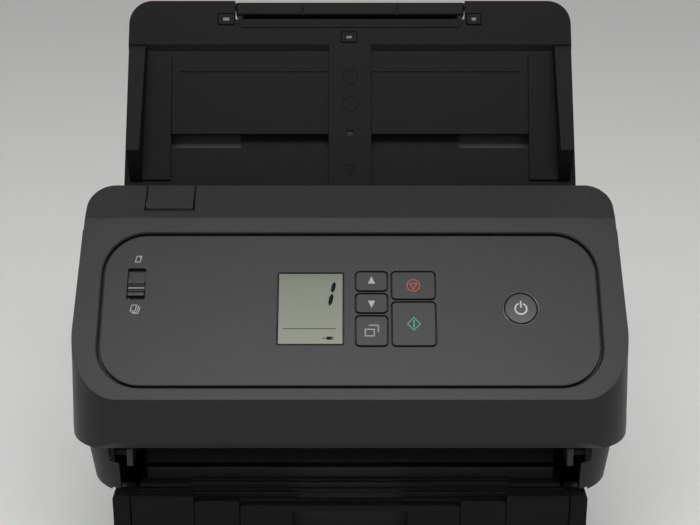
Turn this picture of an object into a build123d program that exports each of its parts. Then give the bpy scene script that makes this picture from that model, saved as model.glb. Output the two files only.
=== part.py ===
from build123d import *
import math
import os

# Desktop document scanner: a front unit that tilts forward, a feed tray behind it, an eject tray in front.
# Millimetres. X runs to the right, Y to the back, Z up. The finished model stands on Z = 0, and its
# origin is the centre of its footprint. While it is drawn, Y is measured from the vertical front face.

# Widths, from the sheet outwards
guide_half = 108.0
side_room = 36.0
chassis_gap = 3.5
frame_room = 13.0
skin_gap = 3.5
skirt_step = 2.8

# Body
body_width = 2 * (guide_half + side_room)
body_depth = 220.0
wall = 2.6
gap = 0.4
seat_gap = 0.3
front_draft = 2.2

# Front unit, side profile
front_bottom_z = 97.0
front_edge_z = 120.0
panel_slope = 46.35
panel_length = 102.3
top_run = 22.4
top_rise = 11.0
chamfer_run = 3.0
chamfer_drop = 4.0
front_corner_r = 27.0
top_corner_r = 18.0
hinge_y = 14.0
hinge_z = 86.0

# Bezel and control panel, measured on the slope: u across, v up the slope, w outwards
bezel_step = 1.2
bezel_corner_r = 20.0
panel_half = body_width / 2 - 15.2
panel_gap = 0.9
panel_low = 7.9
panel_high = 93.2
panel_corner_r = 23.0
panel_sink = 0.8
panel_thick = 2.5
panel_rebate = 3.6
slope_wall = 5.6
board_depth = 9.0
board_thick = 1.6
switch_height = 1.4
switch_slack = 0.2

# Keys: left, right, low and high edges on the slope
key_boxes = {
    "up_key": (3.05, 19.2, 60.7, 71.25),
    "down_key": (3.05, 19.2, 48.5, 58.95),
    "release_key": (3.05, 19.2, 30.4, 46.6),
    "stop_key": (21.6, 43.9, 56.05, 71.25),
    "start_key": (21.6, 43.9, 30.4, 54.25),
}
key_gap = 0.6
key_corner_r = 2.0
key_proud = 0.35
key_travel = 0.6
key_flange = 0.9
stem_r = 2.2
power_u = 87.9
power_v = 50.95
power_r = 8.5
power_ring_r = 9.3
lcd_box = (-37.4, -3.2, 30.9, 70.9)
lcd_glass = 1.2
selector_inset = 18.1
selector_u = selector_inset - panel_half
selector_low = 55.7
selector_high = 73.4
selector_width = 9.5
selector_knob_low = 58.0
selector_knob_high = 67.4
selector_travel = 5.0

# Paper path, from the foot of the feed tray to the exit: Y and Z of the rear guide's face
path_points = [(104.2, 186.0), (88.0, 151.0), (62.0, 112.0), (40.0, 80.0), (30.0, 71.5)]
guide_thick = 2.5
front_guide_thick = 2.0
path_gap = 2.4

# Rollers
shaft_r = 3.0
shaft_clear = 0.05
feed_r = 14.0
drive_r = 9.0
follower_r = 6.0
separation_r = 10.0
follower_shaft_r = 2.0
nip_gap = 0.6
feed_proud = 1.2
drive_proud = 0.7
gear_module = 1.0
gear_width = 5.0

# Main unit
frame_x = guide_half + frame_room
frame_thick = 2.0
chassis_x = guide_half + chassis_gap
chassis_thick = 3.0
cover_half = body_width / 2 - skirt_step
cover_split_z = 93.0
cover_bottom_z = 62.0
cover_flare = 8.0
cover_inner_x = frame_x + skin_gap
cover_front_y = 6.0
cheek_in = frame_x - 1.7
cheek_top_z = 80.3
base_half = frame_x + 3.0
base_front_y = 22.0
base_back_y = body_depth - 12.0
foot_height = 4.0
foot_r = 8.0

# Feed tray, measured on its face: u across, v up the face, w towards the paper
tray_lean = 65.0
tray_foot_y = 106.0
tray_foot_z = 190.0
tray_length = 114.0
tray_half_low = frame_x + 3.9
tray_half_high = tray_half_low - 2.3
tray_clear_half = tray_half_low + 5.1
tray_corner_r = 13.0
tray_thick = 2.6
tray_pivot_y = 119.0
tray_pivot_z = 190.0
tray_pivot_r = 5.0
slot_v = 35.3
slot_half = 3.9
spine_half = 11.7
spine_proud = 1.8
fine_line_v = 74.1
band_low = 84.9
band_high = 89.4
guide_fin_in = guide_half + 4.4
guide_fin_out = tray_half_low - 3.6
guide_fin_top = 86.6
guide_fin_low = 13.5
fin_foot_v = 27.5
fin_foot_w = 3.0
fin_depth = 17.0
guide_travel = 85.0
guide_lug_in = guide_half - 7.0
guide_lug_out = guide_lug_in + 11.0
guide_foot_in = guide_half - 9.0
slot_end_room = 4.1
extension_half = 63.6
extension_travel = 70.0
extension_hold = 11.6
grip_low = 106.0
grip_high = 113.4
extension_notch_v = 103.6
rack_pitch_r = 6.0

# Eject tray, closed upright in front of the base
eject_half = base_half - 0.5
eject_rim = 9.0
eject_front_y = 10.0
eject_thick = 6.5
eject_top_z = 61.2
eject_b_drop = 2.8
eject_c_drop = 5.2
eject_low_z = 14.5
eject_pivot_y = 17.0
eject_pivot_z = 9.0
eject_pivot_r = 4.0
eject_ear_x = base_half - 24.0
eject_b_half = 81.2
eject_c_half = 57.3
eject_notch_half = 27.6
eject_notch_drop = 4.0
finger_half = 30.0
slide_gap = 0.35

pins_r = 2.5
motor_y = 118.0
motor_z = 84.0
motor_r = 17.0
motor_boss_r = 5.0
lever_left = -108.4
lever_right = -83.6
lever_run = 15.8
lever_gap = 0.9
lever_pivot_y = 84.0
lever_pivot_z = 190.0
latch_pin_y = 97.0
latch_pin_z = 165.0

# Derived places
slope = math.radians(panel_slope)
front_top = (0.0, front_edge_z)
bezel_top = (panel_length * math.cos(slope), front_edge_z + panel_length * math.sin(slope))
back_edge = (bezel_top[0] + top_run, bezel_top[1] + top_rise)
lean = math.radians(tray_lean)
panel_plane = Plane(origin=(0, front_top[0], front_top[1]), x_dir=(1, 0, 0),
                    z_dir=(0, -math.sin(slope), math.cos(slope)))
tray_plane = Plane(origin=(0, tray_foot_y, tray_foot_z), x_dir=(1, 0, 0),
                   z_dir=(0, -math.sin(lean), math.cos(lean)))
saved = []


def profile(points):
    """A face in the side view from (Y, Z) points."""
    return Plane.YZ * make_face(Polyline(*points, close=True))


def across(points, x_low, x_high):
    """A side profile run along X."""
    return Pos(x_low, 0, 0) * extrude(profile(points), x_high - x_low)


def block(x_low, x_high, y_low, y_high, z_low, z_high):
    size = (x_high - x_low, y_high - y_low, z_high - z_low)
    place = ((x_high + x_low) / 2, (y_high + y_low) / 2, (z_high + z_low) / 2)
    return Pos(*place) * Box(*size)


def axle(x_low, x_high, y, z, radius):
    """A round bar along X."""
    return Pos((x_low + x_high) / 2, y, z) * Rot(0, 90, 0) * Cylinder(radius, x_high - x_low)


def on(plane, shape):
    return plane.location * shape


def plate(u_low, u_high, v_low, v_high, w_low, w_high, radius=0.0):
    """A plate in a plane's own axes, with rounded corners."""
    outline = Rectangle(u_high - u_low, v_high - v_low)
    if radius > 0:
        outline = fillet(outline.vertices(), radius)
    outline = Pos((u_low + u_high) / 2, (v_low + v_high) / 2, w_low) * outline
    return extrude(outline, w_high - w_low)


def disc(u, v, radius, w_low, w_high):
    return Pos(u, v, (w_low + w_high) / 2) * Cylinder(radius, w_high - w_low)


def mirrored(shape):
    return mirror(shape, about=Plane.YZ)


def both_sides(shape):
    return Compound(list(shape.solids()) + list(mirrored(shape).solids()))


def group(*shapes):
    solids = []
    for shape in shapes:
        solids.extend(shape.solids())
    return Compound(solids)


def save(name, shape):
    placed = Pos(0, -body_depth / 2, 0) * shape
    export_step(placed, "parts/" + name + ".step")
    saved.append(name)


def along_path(index, share):
    """A point on the rear guide's face, and the unit normal that points to the front unit."""
    (y0, z0), (y1, z1) = path_points[index], path_points[index + 1]
    length = math.hypot(y1 - y0, z1 - z0)
    normal = ((z1 - z0) / length, -(y1 - y0) / length)
    return (y0 + (y1 - y0) * share, z0 + (z1 - z0) * share), normal


def beside_path(index, share, distance):
    point, normal = along_path(index, share)
    return (point[0] + normal[0] * distance, point[1] + normal[1] * distance)


# Roller centres stand behind or in front of the paper path
feed_c = beside_path(1, 0.30, feed_proud - feed_r)
separation_c = beside_path(1, 0.30, feed_proud + nip_gap + separation_r)
drive_c = beside_path(1, 0.86, drive_proud - drive_r)
drive_follow_c = beside_path(1, 0.86, drive_proud + nip_gap + follower_r)
eject_c = beside_path(2, 0.72, drive_proud - drive_r)
eject_follow_c = beside_path(2, 0.72, drive_proud + nip_gap + follower_r)


def offset_line(points, distance):
    """The same open line moved sideways, with mitred corners. Positive is towards the front unit."""
    moved = []
    for i, (y, z) in enumerate(points):
        before = points[i - 1] if i > 0 else None
        after = points[i + 1] if i < len(points) - 1 else None
        normals = []
        for a, b in ((before, (y, z)), ((y, z), after)):
            if a and b:
                length = math.hypot(b[0] - a[0], b[1] - a[1])
                normals.append(((b[1] - a[1]) / length, -(b[0] - a[0]) / length))
        ny = sum(n[0] for n in normals)
        nz = sum(n[1] for n in normals)
        size = math.hypot(ny, nz)
        ny, nz = ny / size, nz / size
        cosine = ny * normals[0][0] + nz * normals[0][1]
        moved.append((y + ny * distance / cosine, z + nz * distance / cosine))
    return moved


def front_outline(inset=0.0):
    """The front unit seen from above, drawn in towards its top."""
    half = body_width / 2 - inset
    depth = back_edge[0] + 4.0
    outline = Pos(0, inset + (depth - 2 * inset) / 2, front_bottom_z) * Rectangle(2 * half, depth - 2 * inset)
    front = outline.vertices().sort_by(Axis.Y)[:2]
    outline = fillet(front, front_corner_r - inset)
    rear = outline.vertices().sort_by(Axis.Y)[-2:]
    outline = fillet(rear, top_corner_r - inset)
    upper = extrude(outline, 130, taper=front_draft)
    lower = extrude(outline, -40)
    return upper + lower


front_profile = [
    (chamfer_run, front_bottom_z - chamfer_drop),
    (0.0, front_bottom_z),
    front_top,
    bezel_top,
    back_edge,
    (back_edge[0] + 4.0, back_edge[1] - 7.0),
    (84.0, 162.0),
    (40.0, front_bottom_z - chamfer_drop),
]


lip_chamfer = 0.7


def panel_outline(extra, w):
    """The control panel's outline, larger by a margin, at a height above the slope."""
    outline = Rectangle(2 * (panel_half + extra), panel_high - panel_low + 2 * extra)
    outline = fillet(outline.vertices(), panel_corner_r + extra)
    return Pos(0, (panel_high + panel_low) / 2, w) * outline


def make_front_cover():
    lowered = [front_profile[0], front_profile[1],
               (front_top[0], front_top[1] - bezel_step / math.cos(slope)),
               (bezel_top[0] + 1.5, bezel_top[1] - 0.9)] + front_profile[4:]
    shape = across(lowered, -160, 160)
    bezel = plate(-145, 145, -20, panel_length, -slope_wall, 0)
    bezel = fillet(bezel.edges().filter_by(Axis.Z).group_by(Axis.Y)[-1], bezel_corner_r)
    front_half = block(-160, 160, 0, 200, front_bottom_z, 300)
    shape = (shape + (on(panel_plane, bezel) & front_half)) & front_outline()
    # The hollow keeps the walls, and a thicker wall under the slope
    inner = Plane.YZ * offset(Plane.YZ.location.inverse() * profile(front_profile), -wall)
    hollow = extrude(inner, 160, both=True) & front_outline(wall)
    hollow -= on(panel_plane, plate(-160, 160, -20, 140, -slope_wall, 20))
    shape -= hollow
    # Open at the back and under the exit, where the paper guide sits
    back_opening = [(9.5, 85), (9.5, front_bottom_z - 0.8), (40, front_bottom_z + 2), (78, 164),
                    (90.5, back_edge[1] - 8), (93, back_edge[1] - 4.5), (110, back_edge[1] - 4.5), (110, 85)]
    shape -= across(back_opening, -(cover_inner_x + 8), cover_inner_x + 8)
    # Seat and opening for the control panel
    seat = plate(-panel_half, panel_half, panel_low, panel_high, -panel_rebate, 10, panel_corner_r)
    opening = plate(-panel_half + 4, panel_half - 4, panel_low + 4, panel_high - 4, -slope_wall - 3, 0,
                    panel_corner_r - 4)
    lip = plate(-panel_half - lip_chamfer, panel_half + lip_chamfer, panel_low - lip_chamfer,
                panel_high + lip_chamfer, 0, 10, panel_corner_r + lip_chamfer)
    funnel = loft([panel_outline(0.0, -lip_chamfer), panel_outline(lip_chamfer, 0.01)])
    shape -= on(panel_plane, seat)
    shape -= on(panel_plane, opening)
    shape -= on(panel_plane, lip + funnel)
    # Notch for the open lever in the top surface
    notch = block(lever_left - lever_gap, lever_right + lever_gap, back_edge[0] - lever_run - 0.25, back_edge[0] + 10,
                  back_edge[1] - 14, back_edge[1] + 5)
    shape -= notch & across([(60, 180), (60, 230), (110, 230), (110, 180)], -200, 200)
    return shape


def make_control_panel():
    half = panel_half - panel_gap
    top = -panel_sink
    under = top - panel_thick
    shape = plate(-half, half, panel_low + panel_gap, panel_high - panel_gap, under, top, panel_corner_r - panel_gap)
    shape = fillet(shape.edges().group_by(Axis.Z)[-1], 0.7)
    for left, right, low, high in key_boxes.values():
        shape -= plate(left - key_gap, right + key_gap, low - key_gap, high + key_gap, under - 1, 1,
                       key_corner_r + key_gap)
    shape -= disc(power_u, power_v, power_ring_r, top - 1.2, 1)
    shape -= disc(power_u, power_v, power_r + key_gap, under - 1, 1)
    left, right, low, high = lcd_box
    shape -= plate(left - 0.2, right + 0.2, low - 0.2, high + 0.2, under - 1, 1, 1.5)
    half_slot = selector_width / 2
    shape -= plate(selector_u - half_slot, selector_u + half_slot, selector_low, selector_high, under - 1, 1, 1.0)
    # Screw bosses that carry the board
    for u, v in board_screws:
        boss = disc(u, v, 3.0, -board_depth, under + 0.2) - disc(u, v, screw_hole_r, -board_depth - 1, under)
        shape += boss
    return shape


board_screws = [(-44, 22), (-44, 80), (12, 22), (12, 80), (98, 34), (98, 68)]
screw_hole_r = 1.25


stem_end = -board_depth + switch_height + key_travel + switch_slack


def make_key(box):
    left, right, low, high = box
    top = -panel_sink + key_proud
    under = -panel_sink - panel_thick
    cap = plate(left, right, low, high, under - 0.4, top, key_corner_r)
    cap = fillet(cap.edges().group_by(Axis.Z)[-1], 0.5)
    flange = plate(left - key_flange + 0.15, right + key_flange - 0.15, low - key_flange + 0.15,
                   high + key_flange - 0.15, under - 1.2, under - 0.2, key_corner_r)
    stem = disc((left + right) / 2, (low + high) / 2, stem_r, stem_end, under - 0.5)
    return cap + flange + stem


def make_power_button():
    top = -panel_sink + 0.2
    under = -panel_sink - panel_thick
    cap = disc(power_u, power_v, power_r, under - 0.4, top)
    cap = chamfer(cap.edges().group_by(Axis.Z)[-1], 0.6)
    flange = disc(power_u, power_v, power_r + 1.2, under - 1.2, under - 0.2)
    return cap + flange + disc(power_u, power_v, stem_r, stem_end, under - 0.5)


def make_selector():
    under = -panel_sink - panel_thick
    half_slot = selector_width / 2
    slide_plate = plate(selector_u - half_slot - 1.2, selector_u + half_slot + 1.2,
                        selector_low - 1.5 - selector_travel, selector_high + 1.2, under - 1.5, under - 0.2, 1.0)
    knob = plate(selector_u - half_slot + 0.4, selector_u + half_slot - 0.4, selector_knob_low,
                 selector_knob_high, under - 0.4, -panel_sink + 0.4, 0.8)
    # A scooped finger grip with a raised ridge at its low end
    scoop = Pos(selector_u, selector_knob_low + 4.4, 1.6) * Rot(0, 90, 0) * Cylinder(3.4, 20)
    knob -= scoop
    return slide_plate + knob


def make_panel_board():
    low = -board_depth - board_thick
    board = plate(-48, 102, 18, 84, low, -board_depth, 2.0)
    for u, v in board_screws:
        board -= disc(u, v, 1.5, low - 1, 0)
    parts = board
    for left, right, bottom, top in key_boxes.values():
        u, v = (left + right) / 2, (bottom + top) / 2
        parts += plate(u - 3, u + 3, v - 3, v + 3, -board_depth - 0.2, -board_depth + 0.9)
        parts += disc(u, v, 1.6, -board_depth, -board_depth + 1.4)
    parts += plate(power_u - 3, power_u + 3, power_v - 3, power_v + 3, -board_depth - 0.2, -board_depth + 0.9)
    parts += disc(power_u, power_v, 1.6, -board_depth, -board_depth + 1.4)
    left, right, bottom, top = lcd_box
    display_top = -panel_sink - lcd_glass - 0.2
    parts += plate(left + 0.3, right - 0.3, bottom + 0.3, top - 0.3, -board_depth - 0.2, display_top)
    # A ribbon socket and a chip on the underside
    parts += plate(-20, 4, 26, 31, low - 3.0, low + 0.2)
    parts += plate(50, 62, 44, 56, low - 1.2, low + 0.2)
    return parts


def make_lcd_window():
    left, right, bottom, top = lcd_box
    return plate(left, right, bottom, top, -panel_sink - lcd_glass, -panel_sink - 0.1, 1.3)


def guide_strip(points, thickness, half):
    """A bent plate of even thickness that follows an open side line."""
    other = offset_line(points, thickness)
    return across(points + other[::-1], -half, half)


def make_rear_paper_guide():
    shape = guide_strip(path_points, -guide_thick, guide_half)
    # Ribs behind the guide stiffen it between the rollers
    for x in (8 - guide_half, -66, 66, guide_half - 8):
        deep = offset_line(path_points, -7.0)
        start = along_path(0, 0.55)[0]
        shape += across([start, path_points[1], deep[1], beside_path(0, 0.55, -7.0)], x - 1, x + 1)
    # Windows for the rollers and the scan glass
    shape -= block(-24, 24, 60, 110, feed_c[1] - 12.5, feed_c[1] + 26)
    for centre in (drive_c, eject_c):
        for x in tyre_places:
            shape -= axle(x - tyre_half - 1.5, x + tyre_half + 1.5, centre[0], centre[1], drive_r + 1.2)
    shape -= scan_box(guide_half - 1.0, 7.2, -6, 6)
    # Tabs at both ends are carried by the frames
    for index, share_low, share_high in ((1, 0.42, 0.60), (2, 0.88, 1.0)):
        tab = across([beside_path(index, share_low, -1.0), beside_path(index, share_high, -1.0),
                      beside_path(index, share_high, -6.5), beside_path(index, share_low, -6.5)],
                     guide_half - 2, frame_x - seat_gap)
        shape += tab + mirrored(tab)
    return shape


tyre_places = (24 - guide_half, -34, 34, guide_half - 24)
tyre_half = 9.0
scan_index = 2
scan_share = 0.28


def scan_box(half, half_height, w_low, w_high):
    """A box set square to the paper path at the scan line."""
    (y, z), (ny, nz) = along_path(scan_index, scan_share)
    plane = Plane(origin=(0, y, z), x_dir=(1, 0, 0), z_dir=(0, ny, nz))
    return on(plane, plate(-half, half, -half_height, half_height, w_low, w_high))


def make_front_paper_guide():
    face = offset_line(path_points, path_gap)
    points = [(94.5, 196.0), (79.0, 158.0), beside_path(1, 0.45, path_gap + 1.2), face[2], face[3], (33.5, 79.0)]
    shape = guide_strip(points, front_guide_thick, guide_half)
    shape -= block(-22, 22, 30, 110, separation_c[1] - 16.5, separation_c[1] + 10.5)
    for centre in (drive_follow_c, eject_follow_c):
        for x in tyre_places:
            shape -= axle(x - tyre_half - 1.5, x + tyre_half + 1.5, centre[0], centre[1], follower_r + 1.2)
    shape -= scan_box(guide_half - 1.0, 7.2, -6, 8)
    # End ribs reach the chassis plates
    ribs = across([points[1], points[3], (points[3][0] - 6, points[3][1] + 7), (points[1][0] - 6, points[1][1])],
                  guide_half - 2, chassis_x - 0.2)
    for centre in (separation_c, drive_follow_c, eject_follow_c):
        ribs -= axle(guide_half - 3, chassis_x, centre[0], centre[1], follower_shaft_r + 0.4)
        shape -= axle(-guide_half, guide_half, centre[0], centre[1], follower_shaft_r + 0.4)
    return shape + ribs + mirrored(ribs)


def make_image_sensor(side):
    """A contact image sensor: housing, with a groove where its glass lies."""
    if side > 0:
        body = scan_box(guide_half - 1.6, 6.6, path_gap + guide_thick - 0.5, path_gap + 14)
        return body - scan_box(guide_half - 6, 3.0, path_gap, path_gap + 6)
    body = scan_box(guide_half - 1.6, 6.6, -14, -guide_thick + 0.5)
    return body - scan_box(guide_half - 6, 3.0, -6, 0)


def make_scan_glass(side):
    if side > 0:
        return scan_box(guide_half - 1.6, 6.6, path_gap + 0.1, path_gap + guide_thick - 0.5)
    return scan_box(guide_half - 1.6, 6.6, -guide_thick + 0.5, -0.1)


def plate_with_holes(points, x_low, holes, thickness):
    shape = across(points, x_low, x_low + thickness)
    for (y, z), radius in holes:
        shape -= axle(x_low - 1, x_low + thickness + 1, y, z, radius)
    return shape


bush_r = 5.0


def make_right_frame():
    """A pressed side plate that carries every shaft, with feet bent inwards."""
    path = offset_line(path_points, 5.0)
    points = [(19.8, 66), (16.8, 80.6), (9, 82.4), (9, 90.5), (32, 90.5), path[2], path[1], (97.0, 178.0), (112, 183),
              (123, 179), (150, 150), (196, 130), (196, 62.4), (24, 62.4), (22, 66)]
    holes = [(feed_c, bush_r), (drive_c, bush_r), (eject_c, bush_r),
             ((hinge_y, hinge_z), pins_r), ((motor_y, motor_z), motor_boss_r + 0.1),
             ((latch_pin_y, latch_pin_z), pins_r - 0.5)]
    shape = plate_with_holes(points, frame_x, holes, frame_thick)
    # Lightening windows
    shape -= across([(128, 100), (128, 140), (150, 128), (180, 118), (180, 100)], frame_x - 1, frame_x + 3)
    shape -= across([(60, 66), (60, 72), (96, 72), (96, 66)], frame_x - 1, frame_x + 3)
    # An ear for the feed tray's pivot
    ear = axle(frame_x, frame_x + frame_thick, tray_pivot_y, tray_pivot_z, 7.0)
    ear += across([(112, 178), (112, 190), (123, 190), (123, 178)], frame_x, frame_x + frame_thick)
    shape += ear
    shape -= axle(frame_x - 1, frame_x + frame_thick + 1, tray_pivot_y, tray_pivot_z, pins_r)
    for y in frame_feet:
        shape += block(frame_x - 14, frame_x + 0.5, y - 8, y + 8, 62.4, 64.4)
        shape -= Pos(frame_x - 8, y, 63) * Cylinder(1.6, 10)
    return shape


frame_feet = (70, 176)


def make_bushes():
    bushes = []
    for centre in (feed_c, drive_c, eject_c):
        ring = axle(frame_x - 1.0, frame_x + frame_thick + 1.0, centre[0], centre[1], bush_r - 0.05)
        collar = axle(frame_x - 1.5, frame_x - 0.1, centre[0], centre[1], bush_r + 1.2)
        bush = ring + collar
        bush -= axle(frame_x - 5, frame_x + 6, centre[0], centre[1], shaft_r + shaft_clear)
        bushes.append(bush)
        bushes.append(mirrored(bush))
    return group(*bushes)


def roller_shaft(centre, right_end):
    shaft = axle(-frame_x - 4, right_end, centre[0], centre[1], shaft_r)
    return shaft


def roller_tyres(centre, radius, places, half):
    tyres = []
    for x in places:
        tyre = axle(x - half, x + half, centre[0], centre[1], radius)
        tyre = chamfer(tyre.edges().filter_by(GeomType.CIRCLE), 0.6)
        tyre -= axle(x - half - 1, x + half + 1, centre[0], centre[1], shaft_r)
        tyres.append(tyre)
    return group(*tyres)


def gear_face(teeth, phase):
    """A spur gear's outline: each tooth is a trapezoid with backlash."""
    pitch_r = gear_module * teeth / 2
    tip_r = pitch_r + 0.8 * gear_module
    root_r = pitch_r - 1.1 * gear_module
    step = 2 * math.pi / teeth
    points = []
    for i in range(teeth):
        middle = phase + i * step
        for radius, share in ((root_r, -0.31), (tip_r, -0.12), (tip_r, 0.12), (root_r, 0.31)):
            angle = middle + share * step
            points.append((radius * math.cos(angle), radius * math.sin(angle)))
    return make_face(Polyline(*points, close=True))


def gear(centre, teeth, phase, x_low, width, bore):
    body = extrude(Plane.YZ * gear_face(teeth, phase), width)
    body = Pos(x_low, centre[0], centre[1]) * body
    return body - axle(x_low - 1, x_low + width + 1, centre[0], centre[1], bore)


def mesh_phase(centre_a, teeth_a, phase_a, centre_b, teeth_b):
    """The phase that puts a gap of gear B where gear A has a tooth."""
    towards = math.atan2(centre_b[1] - centre_a[1], centre_b[0] - centre_a[0])
    step_a = 2 * math.pi / teeth_a
    step_b = 2 * math.pi / teeth_b
    share = ((towards - phase_a) / step_a) % 1.0
    return towards + math.pi - (0.5 - share) * step_b


def idler_centre(centre_a, teeth_a, centre_b, teeth_b, teeth_idler, side):
    """Where an idler meshes with both gears."""
    reach_a = gear_module * (teeth_a + teeth_idler) / 2
    reach_b = gear_module * (teeth_b + teeth_idler) / 2
    span = math.hypot(centre_b[0] - centre_a[0], centre_b[1] - centre_a[1])
    along = (reach_a ** 2 - reach_b ** 2 + span ** 2) / (2 * span)
    out = math.sqrt(reach_a ** 2 - along ** 2) * side
    ty, tz = (centre_b[0] - centre_a[0]) / span, (centre_b[1] - centre_a[1]) / span
    return (centre_a[0] + ty * along - tz * out, centre_a[1] + tz * along + ty * out)


drive_teeth = 20
eject_teeth = 20
feed_teeth = 20
feed_idler_teeth = 14
eject_idler_teeth = 18
feed_idler_c = idler_centre(drive_c, drive_teeth, feed_c, feed_teeth, feed_idler_teeth, -1)
eject_idler_c = idler_centre(drive_c, drive_teeth, eject_c, eject_teeth, eject_idler_teeth, 1)
drive_phase = 0.0
feed_idler_phase = mesh_phase(drive_c, drive_teeth, drive_phase, feed_idler_c, feed_idler_teeth)
feed_phase = mesh_phase(feed_idler_c, feed_idler_teeth, feed_idler_phase, feed_c, feed_teeth)
eject_idler_phase = mesh_phase(drive_c, drive_teeth, drive_phase, eject_idler_c, eject_idler_teeth)
eject_phase = mesh_phase(eject_idler_c, eject_idler_teeth, eject_idler_phase, eject_c, eject_teeth)
gear_x = frame_x + frame_thick + 1.5
pulley_x = gear_x + gear_width + 0.4
pulley_width = 5.0
drive_pulley_r = 9.0
motor_pulley_r = 5.5


def make_motor():
    face_x = frame_x - 0.2
    body = axle(face_x - 34, face_x, motor_y, motor_z, motor_r)
    body = fillet(body.edges().filter_by(GeomType.CIRCLE).group_by(Axis.X)[0], 2.0)
    boss = axle(face_x - 0.1, frame_x + frame_thick + 0.6, motor_y, motor_z, motor_boss_r)
    ears = block(face_x - 2, face_x, motor_y - 5, motor_y + 5, motor_z - motor_r - 7, motor_z + motor_r + 7)
    return body + boss + ears


def make_belt():
    """A timing belt, its two straight runs tangent to both pulleys."""
    a, b = drive_c, (motor_y, motor_z)
    span = math.hypot(b[0] - a[0], b[1] - a[1])
    angle = math.degrees(math.atan2(b[1] - a[1], b[0] - a[0]))

    def loop(extra):
        ra, rb = drive_pulley_r + extra, motor_pulley_r + extra
        tilt = math.asin((ra - rb) / span)
        s, c = math.sin(tilt), math.cos(tilt)
        upper = Line((ra * s, ra * c), (span + rb * s, rb * c))
        small = RadiusArc((span + rb * s, rb * c), (span + rb * s, -rb * c), rb)
        lower = Line((span + rb * s, -rb * c), (ra * s, -ra * c))
        large = ThreePointArc((ra * s, -ra * c), (-ra, 0), (ra * s, ra * c))
        return make_face(upper + small + lower + large)

    ring = loop(1.5) - loop(0.35)
    ring = Pos(a[0], a[1]) * Rot(0, 0, angle) * ring
    return Pos(pulley_x + 0.4, 0, 0) * extrude(Plane.YZ * ring, pulley_width - 0.8)


rear_profile = [
    (93.9, 186.0), (122.0, 184.0), (150.0, 176.5), (196.0, 162.5), (212.0, 152.0), (220.0, 136.0),
    (220.0, cover_bottom_z), (cover_front_y, cover_bottom_z), (cover_front_y, 92.0), (41.2, 92.0), (85.0, 161.6),
]


def cover_outline(inset=0.0):
    """The main unit seen from above: it flares out below the split and stands nearly upright above it."""
    half = cover_half - inset
    depth = body_depth - cover_front_y - 2 * inset
    outline = Pos(0, cover_front_y + inset + depth / 2, cover_split_z) * Rectangle(2 * half, depth)
    outline = fillet(outline.vertices().sort_by(Axis.Y)[:2], 36.0 - inset)
    outline = fillet(outline.vertices().sort_by(Axis.Y)[-2:], 22.0 - inset)
    upper = extrude(outline, 120, taper=0.6)
    lower = extrude(outline, -(cover_split_z - cover_bottom_z), taper=cover_flare)
    return upper + lower


def main_shell():
    """The skin that the side covers and the rear cover are cut from."""
    outer = extrude(profile(rear_profile), 200, both=True) & cover_outline()
    flat = Plane.YZ.location.inverse() * profile(rear_profile)
    inner = extrude(Plane.YZ * offset(flat, -wall), 200, both=True) & cover_outline(wall)
    return outer - inner


def make_right_cover(shell):
    shape = shell & block(cover_inner_x, 200, 0, 300, 0, 300)
    # The front corner returns inwards beside the exit
    shape += shell & block(cheek_in, cover_inner_x + 1, 0, 24, eject_top_z + 2.4, cheek_top_z)
    # Long grip recess under the overhang
    recess = Pos(cover_half + 1.5, 128, 80) * Rot(0, 0, 0) * Box(6, 70, 9)
    recess = fillet(recess.edges().filter_by(Axis.X), 4.0)
    shape -= recess & block(cover_half - 1.9, 200, 0, 300, 0, 300)
    return shape


def make_rear_cover(shell):
    half = cover_inner_x - 0.3
    shape = shell & block(-half, half, tray_pivot_y + 9.0, 300, 0, 300)
    shape -= block(-half + 0.01, half - 0.01, 0, body_depth - 15, 0, cover_bottom_z + wall + 0.5)
    # Ventilation louvres
    for row in range(3):
        for column in range(15):
            x = -98 + column * 14
            z = 108 + row * 12
            if x < 60:
                slot = block(x - 5, x + 5, body_depth - 15, body_depth + 10, z - 1.6, z + 1.6)
                shape -= slot
    # Cut-outs for the power inlet, the data socket and the lock slot
    shape -= axle_y(rear_power_x, rear_socket_z, 5.2, body_depth - 10, body_depth + 10)
    shape -= block(rear_data_x - 6.4, rear_data_x + 6.4, body_depth - 10, body_depth + 10, rear_socket_z - 5.9, rear_socket_z + 5.9)
    shape -= block(rear_lock_x - 3.5, rear_lock_x + 3.5, body_depth - 10, body_depth + 10, rear_socket_z - 1.6, rear_socket_z + 1.6)
    return shape


rear_power_x = -84.0
rear_data_x = -52.0
rear_lock_x = 96.0
rear_socket_z = 82.0
socket_board_top = 71.7


def axle_y(x, z, radius, y_low, y_high):
    return Pos(x, (y_low + y_high) / 2, z) * Rot(90, 0, 0) * Cylinder(radius, y_high - y_low)


def make_rear_sockets():
    """A barrel power inlet and a square data socket on a small carrier board."""
    back = body_depth
    board = block(rear_power_x - 14, rear_data_x + 12, back - 50, back - 8, 70, socket_board_top)
    power = block(rear_power_x - 7, rear_power_x + 7, back - 24, back - 7, socket_board_top - 0.1, rear_socket_z + 7)
    power += axle_y(rear_power_x, rear_socket_z, 5.0, back - 10, back - 2.2)
    power -= axle_y(rear_power_x, rear_socket_z, 2.8, back - 12, back + 5)
    power += axle_y(rear_power_x, rear_socket_z, 1.0, back - 13, back - 2.5)
    data = block(rear_data_x - 6.1, rear_data_x + 6.1, back - 20, back - 7, socket_board_top - 0.1, rear_socket_z + 5.6)
    data += block(rear_data_x - 6.0, rear_data_x + 6.0, back - 8, back - 2.2, rear_socket_z - 5.5, rear_socket_z + 5.5)
    data -= block(rear_data_x - 4.3, rear_data_x + 4.3, back - 11, back + 5, rear_socket_z - 3.9, rear_socket_z + 3.9)
    data += block(rear_data_x - 2.8, rear_data_x + 2.8, back - 12, back - 2.5, rear_socket_z - 1.6, rear_socket_z + 1.6)
    return board + power + data


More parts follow.
